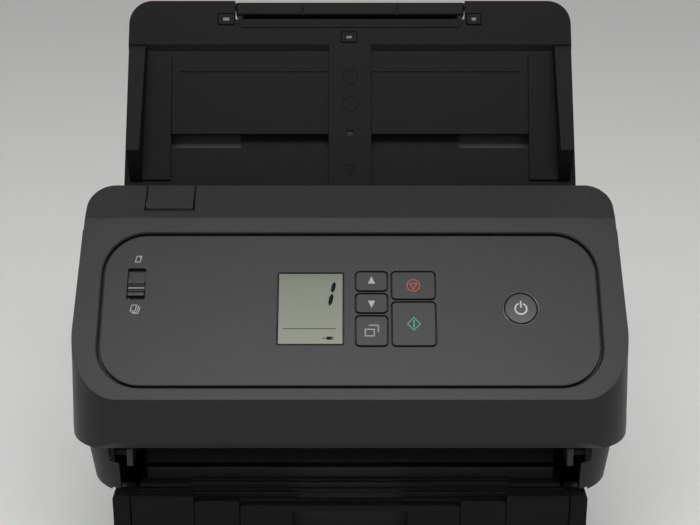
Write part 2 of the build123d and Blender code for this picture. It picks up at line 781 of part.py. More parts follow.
def make_base_tray():
    outer = block(-base_half, base_half, base_front_y, base_back_y, foot_height, cover_bottom_z)
    outer = fillet(outer.edges().filter_by(Axis.Z), 10.0)
    inner = block(-base_half + wall, base_half - wall, base_front_y + wall, base_back_y - wall,
                  foot_height + wall, 80)
    inner = fillet(inner.edges().filter_by(Axis.Z), 10.0 - wall)
    shape = outer - inner
    # Columns for the frame feet and the board
    for x in (-(frame_x - 8), frame_x - 8):
        for y in frame_feet:
            column = block(x - 6, x + 6, y - 7, y + 7, foot_height + 1, cover_bottom_z + 0.2)
            shape += column - Pos(x, y, cover_bottom_z) * Cylinder(1.3, 24)
    for x, y in board_posts:
        shape += Pos(x, y, 9) * Cylinder(4, 8) - Pos(x, y, 9) * Cylinder(1.3, 12)
    # The front wall stops below the exit ledge
    shape -= block(11 - base_half, base_half - 11, 0, base_front_y + wall + 1, top_of_front_wall, 80)
    # Underside vents
    for i in range(8):
        shape -= block(-60 + i * 12, -54 + i * 12, 120, 170, 0, 8)
    # Ears for the eject tray's pivot
    for x in (-eject_ear_x, eject_ear_x):
        ear = axle(x - 3, x + 3, eject_pivot_y, eject_pivot_z, eject_pivot_r)
        ear += block(x - 3, x + 3, eject_pivot_y, base_front_y + 1, eject_pivot_z - eject_pivot_r,
                     eject_pivot_z + eject_pivot_r)
        ear -= axle(x - 4, x + 4, eject_pivot_y, eject_pivot_z, pins_r)
        shape += ear
    # Seats for the feet
    for x, y in foot_places:
        shape += Pos(x, y, foot_height + 1) * Cylinder(foot_r + 1, 2)
    return shape


top_of_front_wall = cover_bottom_z - 3.0
board_posts = [(-70, 60), (70, 60), (-70, 150), (70, 150)]
foot_x = base_half - 20.0
foot_places = [(-foot_x, 42), (foot_x, 42), (-foot_x, 190), (foot_x, 190)]


def make_feet():
    feet = []
    for x, y in foot_places:
        foot = Pos(x, y, foot_height / 2) * Cylinder(foot_r, foot_height)
        feet.append(chamfer(foot.edges().filter_by(GeomType.CIRCLE).group_by(Axis.Z)[0], 0.8))
    return group(*feet)


def make_main_board():
    board = block(-80, 80, 50, 160, 13.0, 14.6)
    for x, y in board_posts:
        board -= Pos(x, y, 14) * Cylinder(1.6, 6)
    shape = board
    for x, y, w, d, h in ((-20, 90, 28, 28, 3), (30, 100, 18, 18, 2.5), (55, 70, 14, 22, 10), (-55, 100, 12, 20, 8),
                          (0, 140, 60, 8, 6), (-50, 145, 16, 8, 5)):
        shape += block(x - w / 2, x + w / 2, y - d / 2, y + d / 2, 14.4, 14.6 + h)
    for x in (44, 52, 60):
        shape += Pos(x, 125, 20) * Cylinder(3.4, 11.4)
    return shape


def make_exit_floor():
    """The ledge under the exit: a moulded shelf with a stepped front lip."""
    top = cover_bottom_z
    shape = block(-85, 85, 28, 62, top - 2.4, top)
    for x_low, x_high in ((-guide_half - 3, -84.9), (84.9, guide_half + 3)):
        shape += block(x_low, x_high, 23, 62, top - 2.4, top - 0.8)
    # Front skirt, seated on the base's front wall
    shape += block(-guide_half - 3, guide_half + 3, base_front_y + wall + 0.3, base_front_y + wall + 2.3, 48, top - 0.8)
    # Riser that meets the end of the paper guide
    shape += block(-guide_half, guide_half, 30.5, 33, top - 1, 67.5)
    # Two stacking ribs in the middle
    for x_low, x_high in ((-26, -11), (11, 26)):
        shape += block(x_low, x_high, base_front_y + wall + 0.4, 28.1, top - 5, top - 1.2)
    return shape


def make_chassis():
    """The front unit's inner frame: two side plates and two cross members."""
    inner = [(7.5, 80.5), (7.5, 90), (10.4, 92), (10.4, 99), (14, 112), (72, 173), (80, 185), (90.5, 192), (77.5, 160),
             beside_path(1, 0.45, path_gap + 4.6), beside_path(2, 0.0, path_gap + 1.2),
             beside_path(2, 0.9, path_gap + 1.2), (33, 80.5)]
    holes = [((hinge_y, hinge_z), pins_r + 0.05), (separation_c, follower_shaft_r + 0.05),
             (drive_follow_c, follower_shaft_r + 0.05), (eject_follow_c, follower_shaft_r + 0.05), ((lever_pivot_y, lever_pivot_z), pins_r + 0.05)]
    plate_right = across(inner, chassis_x, chassis_x + chassis_thick)
    plate_right += axle(chassis_x, chassis_x + chassis_thick, lever_pivot_y, lever_pivot_z, 5.0)
    for (y, z), radius in holes:
        plate_right -= axle(chassis_x - 1, chassis_x + chassis_thick + 1, y, z, radius)
    low_bar = block(-chassis_x - 1, chassis_x + 1, 16, 26, 103, 106)
    high_bar = on(panel_plane, plate(-chassis_x - 1, chassis_x + 1, 28, 50, -27, -24.5))
    return plate_right + mirrored(plate_right) + low_bar + high_bar


def make_lever():
    """The open lever: a plate flush with the top surface, on an arm clamped to the latch shaft."""
    surface = [(back_edge[0] - lever_run, back_edge[1] - lever_run * top_rise / top_run), back_edge,
               (back_edge[0], back_edge[1] - 2.2),
               (back_edge[0] - lever_run, back_edge[1] - 2.6 - lever_run * top_rise / top_run)]
    top = across(surface, lever_left, lever_right)
    middle = (lever_left + lever_right) / 2
    arm = across([(lever_pivot_y - 3, 199.0), (lever_pivot_y + 4, 200.5), (lever_pivot_y + 3, lever_pivot_z),
                  (lever_pivot_y - 3, lever_pivot_z)], middle - 3, middle + 3)
    hub = axle(middle - 5, middle + 5, lever_pivot_y, lever_pivot_z, 4.4)
    return top + arm + hub - axle(middle - 6, middle + 6, lever_pivot_y, lever_pivot_z, pins_r)


def make_latch_shaft():
    """The shaft that turns with the lever, and a hook at each end."""
    shaft = axle(-hook_x - 3, hook_x + 3, lever_pivot_y, lever_pivot_z, pins_r)
    y, z = latch_pin_y, latch_pin_z
    arm = across([(lever_pivot_y - 3.4, lever_pivot_z), (y - 6.0, z + 4), (y - 6.0, z - 7), (y + 3.0, z - 7),
                  (y + 4.4, z - 3.4), (y + 2.2, z - 2.9), (y - 2.5, z - 2.9), (y - 2.5, z + 5),
                  (lever_pivot_y + 3.4, lever_pivot_z)], hook_x, hook_x + 3)
    # The mouth follows the arc of the front unit's swing, clear of the latch pin
    swing_r = math.hypot(latch_pin_y - hinge_y, latch_pin_z - hinge_z) - (pins_r - 0.5) - seat_gap
    mouth = block(hook_x - 1, hook_x + 4, y - 12, y + 12, z - 20, z + pins_r)
    arm -= mouth - axle(hook_x - 2, hook_x + 5, hinge_y, hinge_z, swing_r)
    arm += axle(hook_x, hook_x + 3, lever_pivot_y, lever_pivot_z, 4.4)
    return shaft + arm + mirrored(arm)


hook_x = chassis_x + 4.5


def tray_sheet():
    """The tray's moulded plate, in its own axes."""
    outline = make_face(Polyline((-tray_half_low, 0.5), (tray_half_low, 0.5), (tray_half_high, tray_length),
                                 (-tray_half_high, tray_length), close=True))
    outline = fillet(outline.vertices().sort_by(Axis.Y)[-2:], tray_corner_r)
    return outline


def make_feed_tray():
    sheet = extrude(Pos(0, 0, -tray_thick) * tray_sheet(), tray_thick)
    # The thick band along the top slopes down to the paper surface
    band = [(band_low, -0.5), (band_high, 1.6), (tray_length, 1.6), (tray_length, -0.5)]
    band_face = make_face(Polyline(*band, close=True))
    raised = Pos(-150, 0, 0) * extrude(Plane(origin=(0, 0, 0), x_dir=(0, 1, 0), z_dir=(1, 0, 0)) * band_face, 300)
    raised &= extrude(Pos(0, 0, -2) * tray_sheet(), 6)
    # A skirt behind the outline gives the tray its depth
    rim = extrude(Pos(0, 0, -tray_back) * tray_sheet(), tray_back - tray_thick + 0.1)
    core = extrude(Pos(0, 0, -tray_back - 1) * offset(tray_sheet(), -2.4), tray_back + 2)
    skirt = rim - core - plate(-tray_clear_half, tray_clear_half, -20, 17, -30, -tray_thick)
    shape = sheet + raised + skirt
    # Notch and slot for the extension at the top
    shape -= plate(-extension_half - gap, extension_half + gap, extension_notch_v, 130, -20, 10)
    # The spine covers the rack pinion
    shape += plate(-spine_half, spine_half, 2, band_low + 6, -0.5, spine_proud, 0.6)
    shape -= plate(-1.8, 1.8, slot_v + 2.8, slot_v + 5.6, -5, 5)
    # A shallow lip along the notch, and a fine line across the face
    shape += plate(-extension_half + 2, extension_half - 2, extension_notch_v - 4.6, extension_notch_v, 1.5, 2.2, 1.5)
    for side in (-1, 1):
        low, high = sorted((side * (spine_half + 0.5), side * (guide_foot_in - 4)))
        shape -= plate(low, high, fine_line_v - 0.25, fine_line_v + 0.25, -0.3, 1)
    # Slots for the guides' lugs
    for side in (-1, 1):
        low, high = sorted((side * (guide_lug_in - guide_travel - slot_end_room), side * (guide_lug_out + 4.5)))
        shape -= plate(low, high, slot_v - slot_half, slot_v + slot_half, -5, 5)
    # Pockets of the three catches
    for u, v, half_u, half_v in catch_places:
        shape -= plate(u - half_u, u + half_u, v - half_v, v + half_v, -1.4, 10, 0.8)
    # Post for the pinion, and hinge knuckles at the foot
    shape += disc(0, slot_v, 2.0, rack_w_low - 0.6, -tray_thick + 0.1)
    for side in (-1, 1):
        low, high = sorted((side * (tray_half_low - 6.9), side * (tray_half_low + 5)))
        shape -= plate(low, high, -20, 2.0, -20, 5)
    placed = on(tray_plane, shape)
    for x_low, x_high in ((11 - frame_x, 31 - frame_x), (frame_x - 31, frame_x - 11)):
        knuckle = axle(x_low, x_high, tray_pivot_y, tray_pivot_z, tray_pivot_r)
        web = on(tray_plane, plate(x_low, x_high, 1, 12, -13, -tray_thick + 0.1))
        placed += knuckle + web
    for side in (-1, 1):
        low, high = sorted((side * (frame_x - 32), side * frame_x))
        placed -= axle(low, high, tray_pivot_y, tray_pivot_z, pins_r + 0.05)
    return placed


tray_back = 12.0
catch_places = [(-68.9, 103.6, 4.7, 3.4), (68.9, 103.6, 4.2, 3.4), (-0.5, 93.4, 4.5, 3.2)]


def make_tray_back_cover():
    shape = extrude(Pos(0, 0, -tray_back) * offset(tray_sheet(), -2.8), 2.0)
    shape -= plate(-tray_clear_half, tray_clear_half, -20, 20, -30, 0)
    shape -= plate(-extension_half - 2, extension_half + 2, 100, 130, -30, 0)
    # Stiffening ribs reach in towards the slide
    for u in (-96, 96):
        shape += plate(u - 1, u + 1, 52, 92, -tray_back + 1, -tray_thick - 0.3)
    for u in (-extension_half - 3.2, extension_half + 1.2):
        shape += plate(u, u + 2, 52, 98, -tray_back + 1, -tray_thick - 0.3)
    return on(tray_plane, shape)


def make_extension():
    """A sliding plate with a thick grip along its top edge."""
    sheet_low = extension_notch_v - extension_hold - extension_travel
    sheet = plate(-extension_half + 3, extension_half - 3, sheet_low, 108, -9.4, -7.4, 2)
    grip = plate(-extension_half, extension_half, grip_low, grip_high, -9.4, 1.2, 1.0)
    grip = fillet(grip.edges().group_by(Axis.Y)[-1].filter_by(Axis.X), 1.2)
    neck = plate(-extension_half + 3, extension_half - 3, grip_low + 0.2, grip_low + 3, -9.4, -2.4)
    for u in (-26.3, 26.3):
        grip -= plate(u - 0.5, u + 0.5, grip_low - 2, grip_high + 6, 0.6, 5)
    return on(tray_plane, sheet + grip + neck)


def make_right_guide():
    """An upright paper guide: a tapered fin, its foot plate, a lug and the rack behind the tray."""
    fin_in = guide_fin_in
    # The foot slopes back, so that it clears the cover's back edge when the tray folds
    fin = make_face(Polyline((guide_fin_low, 0.3), (guide_fin_top - 1.8, 0.3), (guide_fin_top, 1.8), (guide_fin_top, 9.0),
                             (guide_fin_top - 2, 10.5), (fin_foot_v, fin_depth), (guide_fin_low, fin_foot_w), close=True))
    side = Plane(origin=(0, 0, 0), x_dir=(0, 1, 0), z_dir=(1, 0, 0))
    fin = extrude(side * fin, guide_fin_out - fin_in)
    fin = Pos(fin_in, 0, 0) * fin
    taper = Pos(0, 0, -1) * extrude(make_face(Polyline((fin_in - 1, 10), (fin_in + 2.5, 10), (fin_in - 0.1, 90),
                                                       (fin_in - 1, 90), close=True)), 30)
    fin -= taper
    foot = plate(guide_foot_in, guide_fin_out, 13.5, 83.0, 0.3, 1.7)
    lug = plate(guide_lug_in, guide_lug_out, slot_v - slot_half + 0.3, slot_v + slot_half - 0.3, -rack_back + 0.2, 0.5)
    return fin + foot + lug


rack_back = 5.6
rack_w_low = -rack_back
rack_w_high = -tray_thick - 0.35


def rack_bar(reach_low, reach_high, side):
    """A rack along u, its teeth towards the pinion at v = slot_v."""
    pitch = math.pi * gear_module
    root = rack_pitch_r + 1.1
    back = rack_pitch_r + 4.0
    tip = rack_pitch_r - 0.8
    points = [(reach_high, root), (reach_high, back), (reach_low, back), (reach_low, root)]
    first = math.ceil((reach_low + pitch) / pitch)
    last = math.floor((reach_high - pitch) / pitch)
    for i in range(first, last + 1):
        middle = i * pitch
        points += [(middle - 0.31 * pitch, root), (middle - 0.12 * pitch, tip), (middle + 0.12 * pitch, tip),
                   (middle + 0.31 * pitch, root)]
    face = make_face(Polyline(*points, close=True))
    bar = extrude(Pos(0, 0, rack_w_low) * face, rack_w_high - rack_w_low)
    if side < 0:
        bar = Rot(0, 0, 180) * bar
    return Pos(0, slot_v, 0) * bar


def make_guides():
    right = make_right_guide()
    left = mirror(right, about=Plane.YZ)
    bar_right = rack_bar(-8.0, guide_lug_out, 1)
    bar_left = rack_bar(-8.0, guide_lug_out, -1)
    arm = plate(guide_lug_in, guide_lug_out, slot_v - slot_half + 0.3, slot_v + rack_pitch_r + 3, rack_w_low, rack_w_high)
    arm_left = plate(-guide_lug_out, -guide_lug_in, slot_v - rack_pitch_r - 3, slot_v + slot_half - 0.3, rack_w_low, rack_w_high)
    return on(tray_plane, right + arm + bar_right), on(tray_plane, left + arm_left + bar_left)


def make_pinion():
    phase = math.pi / 2 + math.pi / pinion_teeth
    face = gear_face(pinion_teeth, phase)
    body = extrude(Pos(0, slot_v, rack_w_low) * face, rack_w_high - rack_w_low)
    return on(tray_plane, body - disc(0, slot_v, 2.05, -9, 0))


pinion_teeth = 12


def make_eject_tray():
    front, back = eject_front_y, eject_front_y + eject_thick
    half = eject_half - eject_rim - 0.3
    low, top = eject_low_z, eject_top_z
    shape = block(-half - 0.5, half + 0.5, front, back, low, top)
    # Rims stand proud of both faces
    for side in (-1, 1):
        x_low, x_high = sorted((side * (eject_half - eject_rim), side * eject_half))
        rim = block(x_low, x_high, front - 0.8, back + 2.0, low - 3, top + 1.0)
        shape += fillet(rim.edges().filter_by(Axis.Y), 2.0)
        groove_low, groove_high = sorted((side * half, side * (half + 0.6)))
        shape -= block(groove_low, groove_high, front - 2, front + 1.2, low, top + 5)
    # Bay for the first extension, open at the top
    shape -= block(-eject_b_half - slide_gap, eject_b_half + slide_gap, front - 1, back - 2.0, low + 4, top + 5)
    shape -= block(-eject_notch_half, eject_notch_half, 0, 30, top - eject_notch_drop, top + 5)
    shape -= block(-finger_half, finger_half, 0, 30, low + 14, top - 8.5)
    # Paper ribs on the inner face
    for x in (-90, -45, 45, 90):
        shape += block(x - 1, x + 1, back - 0.2, back + 1.2, low + 2, top - 1)
    # Knuckles at the foot
    for x_low, x_high in ((3.5 - eject_ear_x, 24 - eject_ear_x), (eject_ear_x - 24, eject_ear_x - 3.5)):
        knuckle = axle(x_low, x_high, eject_pivot_y, eject_pivot_z, eject_pivot_r)
        web = block(x_low, x_high, eject_pivot_y - 3.5, eject_pivot_y - 0.5, eject_pivot_z, low + 2)
        shape += knuckle + web
        shape -= axle(x_low - 1, x_high + 1, eject_pivot_y, eject_pivot_z, pins_r + 0.05)
    return shape


def make_eject_extension():
    front = eject_front_y
    back = eject_front_y + eject_thick - 2.0 - slide_gap
    low, top = eject_low_z + 4 + slide_gap, eject_top_z - eject_b_drop
    shape = block(-eject_b_half, eject_b_half, front, back, low, top)
    shape = fillet(shape.edges().filter_by(Axis.Y).group_by(Axis.Z)[-1], 2.0)
    shape -= block(-eject_c_half - slide_gap, eject_c_half + slide_gap, front - 1, back - 1.4, low + 3, top + 5)
    shape -= block(-eject_notch_half, eject_notch_half, 0, 30, top - eject_notch_drop + eject_b_drop, top + 5)
    shape -= block(-finger_half, finger_half, 0, 30, eject_low_z + 14, eject_top_z - 8.5)
    return shape


def make_eject_sub_extension():
    front = eject_front_y - 0.4
    back = eject_front_y + eject_thick - 2.0 - 2 * slide_gap - 1.4
    low, top = eject_low_z + 7 + 2 * slide_gap, eject_top_z - eject_c_drop
    shape = block(-eject_c_half, eject_c_half, front, back, low, top)
    shape = fillet(shape.edges().filter_by(Axis.Y).group_by(Axis.Z)[-1], 2.0)
    shape -= block(-finger_half, finger_half, 0, 30, eject_low_z + 14, eject_top_z - 8.5)
    return shape


def make_pins():
    """Every fixed pin of the main unit: front hinge, feed tray hinge, eject tray hinge, latches and idlers."""
    hinge = axle(chassis_x - 1.0, frame_x + frame_thick + 0.1, hinge_y, hinge_z, pins_r)
    hinge += axle(frame_x + frame_thick, frame_x + frame_thick + 1.2, hinge_y, hinge_z, pins_r + 2)
    tray = axle(frame_x - 30, frame_x + frame_thick + 0.1, tray_pivot_y, tray_pivot_z, pins_r)
    tray += axle(frame_x + frame_thick, frame_x + frame_thick + 1.2, tray_pivot_y, tray_pivot_z, pins_r + 2)
    eject = axle(eject_ear_x - 23, eject_ear_x + 3, eject_pivot_y, eject_pivot_z, pins_r)
    latch = axle(hook_x - 0.3, frame_x + frame_thick, latch_pin_y, latch_pin_z, pins_r - 0.5)
    paired = both_sides(group(hinge, tray, eject, latch))
    posts = []
    for centre in (feed_idler_c, eject_idler_c):
        posts.append(axle(frame_x + frame_thick + 0.05, gear_x + gear_width + 0.8, centre[0], centre[1], 2.0))
    return group(paired, *posts)


def make_screws():
    """Pan head screws that hold the frames to the base and the board to its posts."""
    screws = []
    for x in (-(frame_x - 8), frame_x - 8):
        for y in frame_feet:
            screws.append(Pos(x, y, 65.4) * Cylinder(3.0, 2.0) + Pos(x, y, 58) * Cylinder(1.25, 14))
    for x, y in board_posts:
        screws.append(Pos(x, y, 15.6) * Cylinder(2.6, 2.0) + Pos(x, y, 11) * Cylinder(1.25, 8))
    return group(*screws)


def make_panel_screws():
    under = -board_depth - board_thick
    screws = [disc(u, v, 2.6, under - 1.8, under) + disc(u, v, 1.2, under - 0.5, -5) for u, v in board_screws]
    return on(panel_plane, group(*screws))


os.makedirs("parts", exist_ok=True)

save("front_cover", make_front_cover())
save("control_panel", on(panel_plane, make_control_panel()))
save("lcd_window", on(panel_plane, make_lcd_window()))
save("panel_board", on(panel_plane, make_panel_board()))
save("panel_screws", make_panel_screws())
for key_name, key_box in key_boxes.items():
    save(key_name, on(panel_plane, make_key(key_box)))
save("power_button", on(panel_plane, make_power_button()))
save("feed_selector", on(panel_plane, make_selector()))
save("front_chassis", make_chassis())
save("front_paper_guide", make_front_paper_guide())
save("front_image_sensor", make_image_sensor(1))
save("front_scan_glass", make_scan_glass(1))
save("open_lever", make_lever())
save("latch_shaft", make_latch_shaft())
save("separation_roller", group(axle(-chassis_x - 2.5, chassis_x + 2.5, *separation_c, follower_shaft_r),
                                roller_tyres(separation_c, separation_r, (0,), 19)))
save("drive_followers", group(axle(-chassis_x - 2.5, chassis_x + 2.5, *drive_follow_c, follower_shaft_r),
                              roller_tyres(drive_follow_c, follower_r, tyre_places, tyre_half)))
save("eject_followers", group(axle(-chassis_x - 2.5, chassis_x + 2.5, *eject_follow_c, follower_shaft_r),
                              roller_tyres(eject_follow_c, follower_r, tyre_places, tyre_half)))

main_skin = main_shell()
right_cover = make_right_cover(main_skin)
save("right_side_cover", right_cover)
save("left_side_cover", mirrored(right_cover))
save("rear_cover", make_rear_cover(main_skin))
save("base_tray", make_base_tray())
save("rubber_feet", make_feet())
save("exit_floor", make_exit_floor())
right_frame = make_right_frame()
save("right_frame", right_frame)
save("left_frame", mirrored(right_frame))
save("shaft_bushes", make_bushes())
save("fixed_pins", make_pins())
save("frame_screws", make_screws())
save("rear_paper_guide", make_rear_paper_guide())
save("rear_image_sensor", make_image_sensor(-1))
save("rear_scan_glass", make_scan_glass(-1))
save("drive_motor", make_motor())
save("drive_belt", make_belt())
save("main_board", make_main_board())
save("rear_sockets", make_rear_sockets())

save("drive_shaft", roller_shaft(drive_c, pulley_x + pulley_width + 0.5))
save("drive_tyres", roller_tyres(drive_c, drive_r, tyre_places, tyre_half))
drive_gear = gear(drive_c, drive_teeth, drive_phase, gear_x, gear_width, shaft_r)
drive_pulley = axle(gear_x + gear_width - 0.1, pulley_x + pulley_width, *drive_c, drive_pulley_r)
save("drive_gear", drive_gear + drive_pulley - axle(100, 150, *drive_c, shaft_r))
save("feed_shaft", roller_shaft(feed_c, gear_x + gear_width + 0.5))
save("feed_tyre", roller_tyres(feed_c, feed_r, (0,), 20))
save("feed_gear", gear(feed_c, feed_teeth, feed_phase, gear_x, gear_width, shaft_r))
save("eject_shaft", roller_shaft(eject_c, gear_x + gear_width + 0.5))
save("eject_tyres", roller_tyres(eject_c, drive_r, tyre_places, tyre_half))
save("eject_gear", gear(eject_c, eject_teeth, eject_phase, gear_x, gear_width, shaft_r))
save("feed_idler", gear(feed_idler_c, feed_idler_teeth, feed_idler_phase, gear_x, gear_width, 2.05))
save("eject_idler", gear(eject_idler_c, eject_idler_teeth, eject_idler_phase, gear_x, gear_width, 2.05))
save("motor_pulley", axle(frame_x + frame_thick + 0.9, pulley_x + pulley_width, motor_y, motor_z, motor_pulley_r))

save("feed_tray", make_feed_tray())
save("tray_back_cover", make_tray_back_cover())
save("feed_extension", make_extension())
right_guide, left_guide = make_guides()
save("right_guide", right_guide)
save("left_guide", left_guide)
save("guide_pinion", make_pinion())
save("eject_tray", make_eject_tray())
save("eject_extension", make_eject_extension())
save("eject_sub_extension", make_eject_sub_extension())

print(len(saved), "nodes written")
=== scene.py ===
import math
import bpy
import bmesh
from mathutils import Matrix, Vector


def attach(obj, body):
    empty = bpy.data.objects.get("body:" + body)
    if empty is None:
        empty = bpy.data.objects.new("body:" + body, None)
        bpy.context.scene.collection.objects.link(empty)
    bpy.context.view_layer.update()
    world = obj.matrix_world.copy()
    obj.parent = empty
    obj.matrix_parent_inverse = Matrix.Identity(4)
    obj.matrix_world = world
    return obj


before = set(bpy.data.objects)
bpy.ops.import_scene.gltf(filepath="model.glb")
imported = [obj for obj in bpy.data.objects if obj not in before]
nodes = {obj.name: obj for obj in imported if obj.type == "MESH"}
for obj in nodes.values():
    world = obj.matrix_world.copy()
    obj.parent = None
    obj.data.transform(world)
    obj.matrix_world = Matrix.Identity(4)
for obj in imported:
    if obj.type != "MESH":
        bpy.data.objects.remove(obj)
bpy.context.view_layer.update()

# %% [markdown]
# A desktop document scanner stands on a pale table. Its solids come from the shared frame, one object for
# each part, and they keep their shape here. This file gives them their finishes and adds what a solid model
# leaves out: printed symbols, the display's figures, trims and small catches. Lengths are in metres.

MM = 0.001
print("parts in the frame:", len(nodes))

# %% [markdown]
# Most details lie on one of two sloping surfaces. The control panel leans back at 46.35 degrees and the feed
# tray at 65. A detail is drawn flat, u to the right and v up the slope, and is then turned and moved onto
# its surface. A 4 by 4 matrix does both, so each surface gets one.

# %% The two working surfaces
PANEL_SLOPE = math.radians(46.35)
TRAY_LEAN = math.radians(65.0)
HALF_DEPTH = 110.0
panel_surface = Matrix.Translation((0, -HALF_DEPTH * MM, 120 * MM)) @ Matrix.Rotation(PANEL_SLOPE, 4, "X")
tray_surface = Matrix.Translation((0, (106 - HALF_DEPTH) * MM, 190 * MM)) @ Matrix.Rotation(TRAY_LEAN, 4, "X")
PANEL_TOP = -0.8
KEY_TOP = -0.45
POWER_TOP = -0.6
GLASS_TOP = -0.9

# %% [markdown]
# Every moulded part has the same fine sparked texture, a little cloudiness in its colour and a trace of dust
# on what faces up. That belongs in one shader node group, so that each plastic gets its own values.

# %% A node group for moulded plastic


def socket(tree, name, kind, way, value=None):
    made = tree.interface.new_socket(name=name, in_out=way, socket_type="NodeSocket" + kind)
    if value is not None:
        made.default_value = value


def node(tree, kind, x, y, **settings):
    made = tree.nodes.new("ShaderNode" + kind)
    made.location = (x, y)
    for key, value in settings.items():
        setattr(made, key, value)
    return made


def moulded_group():
    tree = bpy.data.node_groups.new("Moulded plastic", "ShaderNodeTree")
    socket(tree, "Tone", "Color", "INPUT", (0.05, 0.05, 0.05, 1))
    socket(tree, "Grain per metre", "Float", "INPUT", 2600.0)
    socket(tree, "Cloudiness", "Float", "INPUT", 0.12)
    socket(tree, "Dust", "Float", "INPUT", 0.05)
    socket(tree, "Gloss spread", "Float", "INPUT", 0.45)
    socket(tree, "Color", "Color", "OUTPUT")
    socket(tree, "Roughness", "Float", "OUTPUT")
    socket(tree, "Height", "Float", "OUTPUT")
    source = tree.nodes.new("NodeGroupInput")
    source.location = (-1000, 0)
    result = tree.nodes.new("NodeGroupOutput")
    result.location = (700, 0)
    place = node(tree, "TexCoord", -1000, -300)
    grain = node(tree, "TexNoise", -700, -300)
    grain.inputs["Detail"].default_value = 3.0
    clouds = node(tree, "TexNoise", -700, 100)
    clouds.inputs["Scale"].default_value = 28.0
    clouds.inputs["Detail"].default_value = 4.0
    swing = node(tree, "MapRange", -450, 100)
    swing.inputs["To Min"].default_value = -1.0
    swing.inputs["To Max"].default_value = 1.0
    shade = node(tree, "Math", -250, 100, operation="MULTIPLY_ADD")
    shade.inputs[2].default_value = 1.0
    toned = node(tree, "VectorMath", 0, 200, operation="SCALE")
    facing = node(tree, "NewGeometry", -700, -600)
    split = node(tree, "SeparateXYZ", -500, -600)
    upward = node(tree, "MapRange", -300, -600)
    upward.inputs["From Min"].default_value = 0.55
    upward.inputs["From Max"].default_value = 1.0
    speck = node(tree, "TexNoise", -700, -850)
    speck.inputs["Scale"].default_value = 420.0
    speck.inputs["Detail"].default_value = 5.0
    speck_cut = node(tree, "MapRange", -500, -850)
    speck_cut.inputs["From Min"].default_value = 0.52
    speck_cut.inputs["From Max"].default_value = 0.78
    lying = node(tree, "Math", -100, -700, operation="MULTIPLY")
    dusty = node(tree, "Math", 80, -700, operation="MULTIPLY")
    mix = node(tree, "Mix", 300, 200, data_type="RGBA")
    mix.inputs["B"].default_value = (0.30, 0.29, 0.27, 1)
    rough = node(tree, "Math", 100, -100, operation="MULTIPLY_ADD")
    rough.inputs[1].default_value = 0.10
    link = tree.links.new
    link(place.outputs["Object"], grain.inputs["Vector"])
    link(place.outputs["Object"], clouds.inputs["Vector"])
    link(place.outputs["Object"], speck.inputs["Vector"])
    link(source.outputs["Grain per metre"], grain.inputs["Scale"])
    link(clouds.outputs["Fac"], swing.inputs["Value"])
    link(swing.outputs["Result"], shade.inputs[0])
    link(source.outputs["Cloudiness"], shade.inputs[1])
    link(source.outputs["Tone"], toned.inputs[0])
    link(shade.outputs[0], toned.inputs["Scale"])
    link(facing.outputs["Normal"], split.inputs[0])
    link(split.outputs["Z"], upward.inputs["Value"])
    link(speck.outputs["Fac"], speck_cut.inputs["Value"])
    link(upward.outputs["Result"], lying.inputs[0])
    link(speck_cut.outputs["Result"], lying.inputs[1])
    link(lying.outputs[0], dusty.inputs[0])
    link(source.outputs["Dust"], dusty.inputs[1])
    link(dusty.outputs[0], mix.inputs["Factor"])
    link(toned.outputs[0], mix.inputs["A"])
    link(grain.outputs["Fac"], rough.inputs[0])
    link(source.outputs["Gloss spread"], rough.inputs[2])
    link(mix.outputs["Result"], result.inputs["Color"])
    link(rough.outputs[0], result.inputs["Roughness"])
    link(grain.outputs["Fac"], result.inputs["Height"])
    return tree


moulded = moulded_group()
print("group sockets:", [s.name for s in moulded.interface.items_tree])

# %% [markdown]
# A plastic is the group's colour, gloss and grain fed to one Principled shader. A Bevel node rounds the
# edges in the shading by a fraction of a millimetre, as a mould does, so they catch a thin line of light.

# %% Plastics


def plastic(name, tone, gloss, grain=2600.0, bump=0.12, cloud=0.10, dust=0.03, edge=0.5, specular=0.5):
    material = bpy.data.materials.new(name)
    material.use_nodes = True
    tree = material.node_tree
    shader = tree.nodes["Principled BSDF"]
    shader.inputs["Specular IOR Level"].default_value = specular
    group = node(tree, "Group", -500, 100, node_tree=moulded)
    group.inputs["Tone"].default_value = (*tone, 1)
    group.inputs["Grain per metre"].default_value = grain
    group.inputs["Cloudiness"].default_value = cloud
    group.inputs["Dust"].default_value = dust
    group.inputs["Gloss spread"].default_value = gloss
    round_edge = node(tree, "Bevel", -500, -300, samples=4)
    round_edge.inputs["Radius"].default_value = edge * MM
    relief = node(tree, "Bump", -250, -150)
    relief.inputs["Strength"].default_value = bump
    relief.inputs["Distance"].default_value = 0.0001
    link = tree.links.new
    link(group.outputs["Color"], shader.inputs["Base Color"])
    link(group.outputs["Roughness"], shader.inputs["Roughness"])
    link(group.outputs["Height"], relief.inputs["Height"])
    link(round_edge.outputs["Normal"], relief.inputs["Normal"])
    link(relief.outputs["Normal"], shader.inputs["Normal"])
    return material


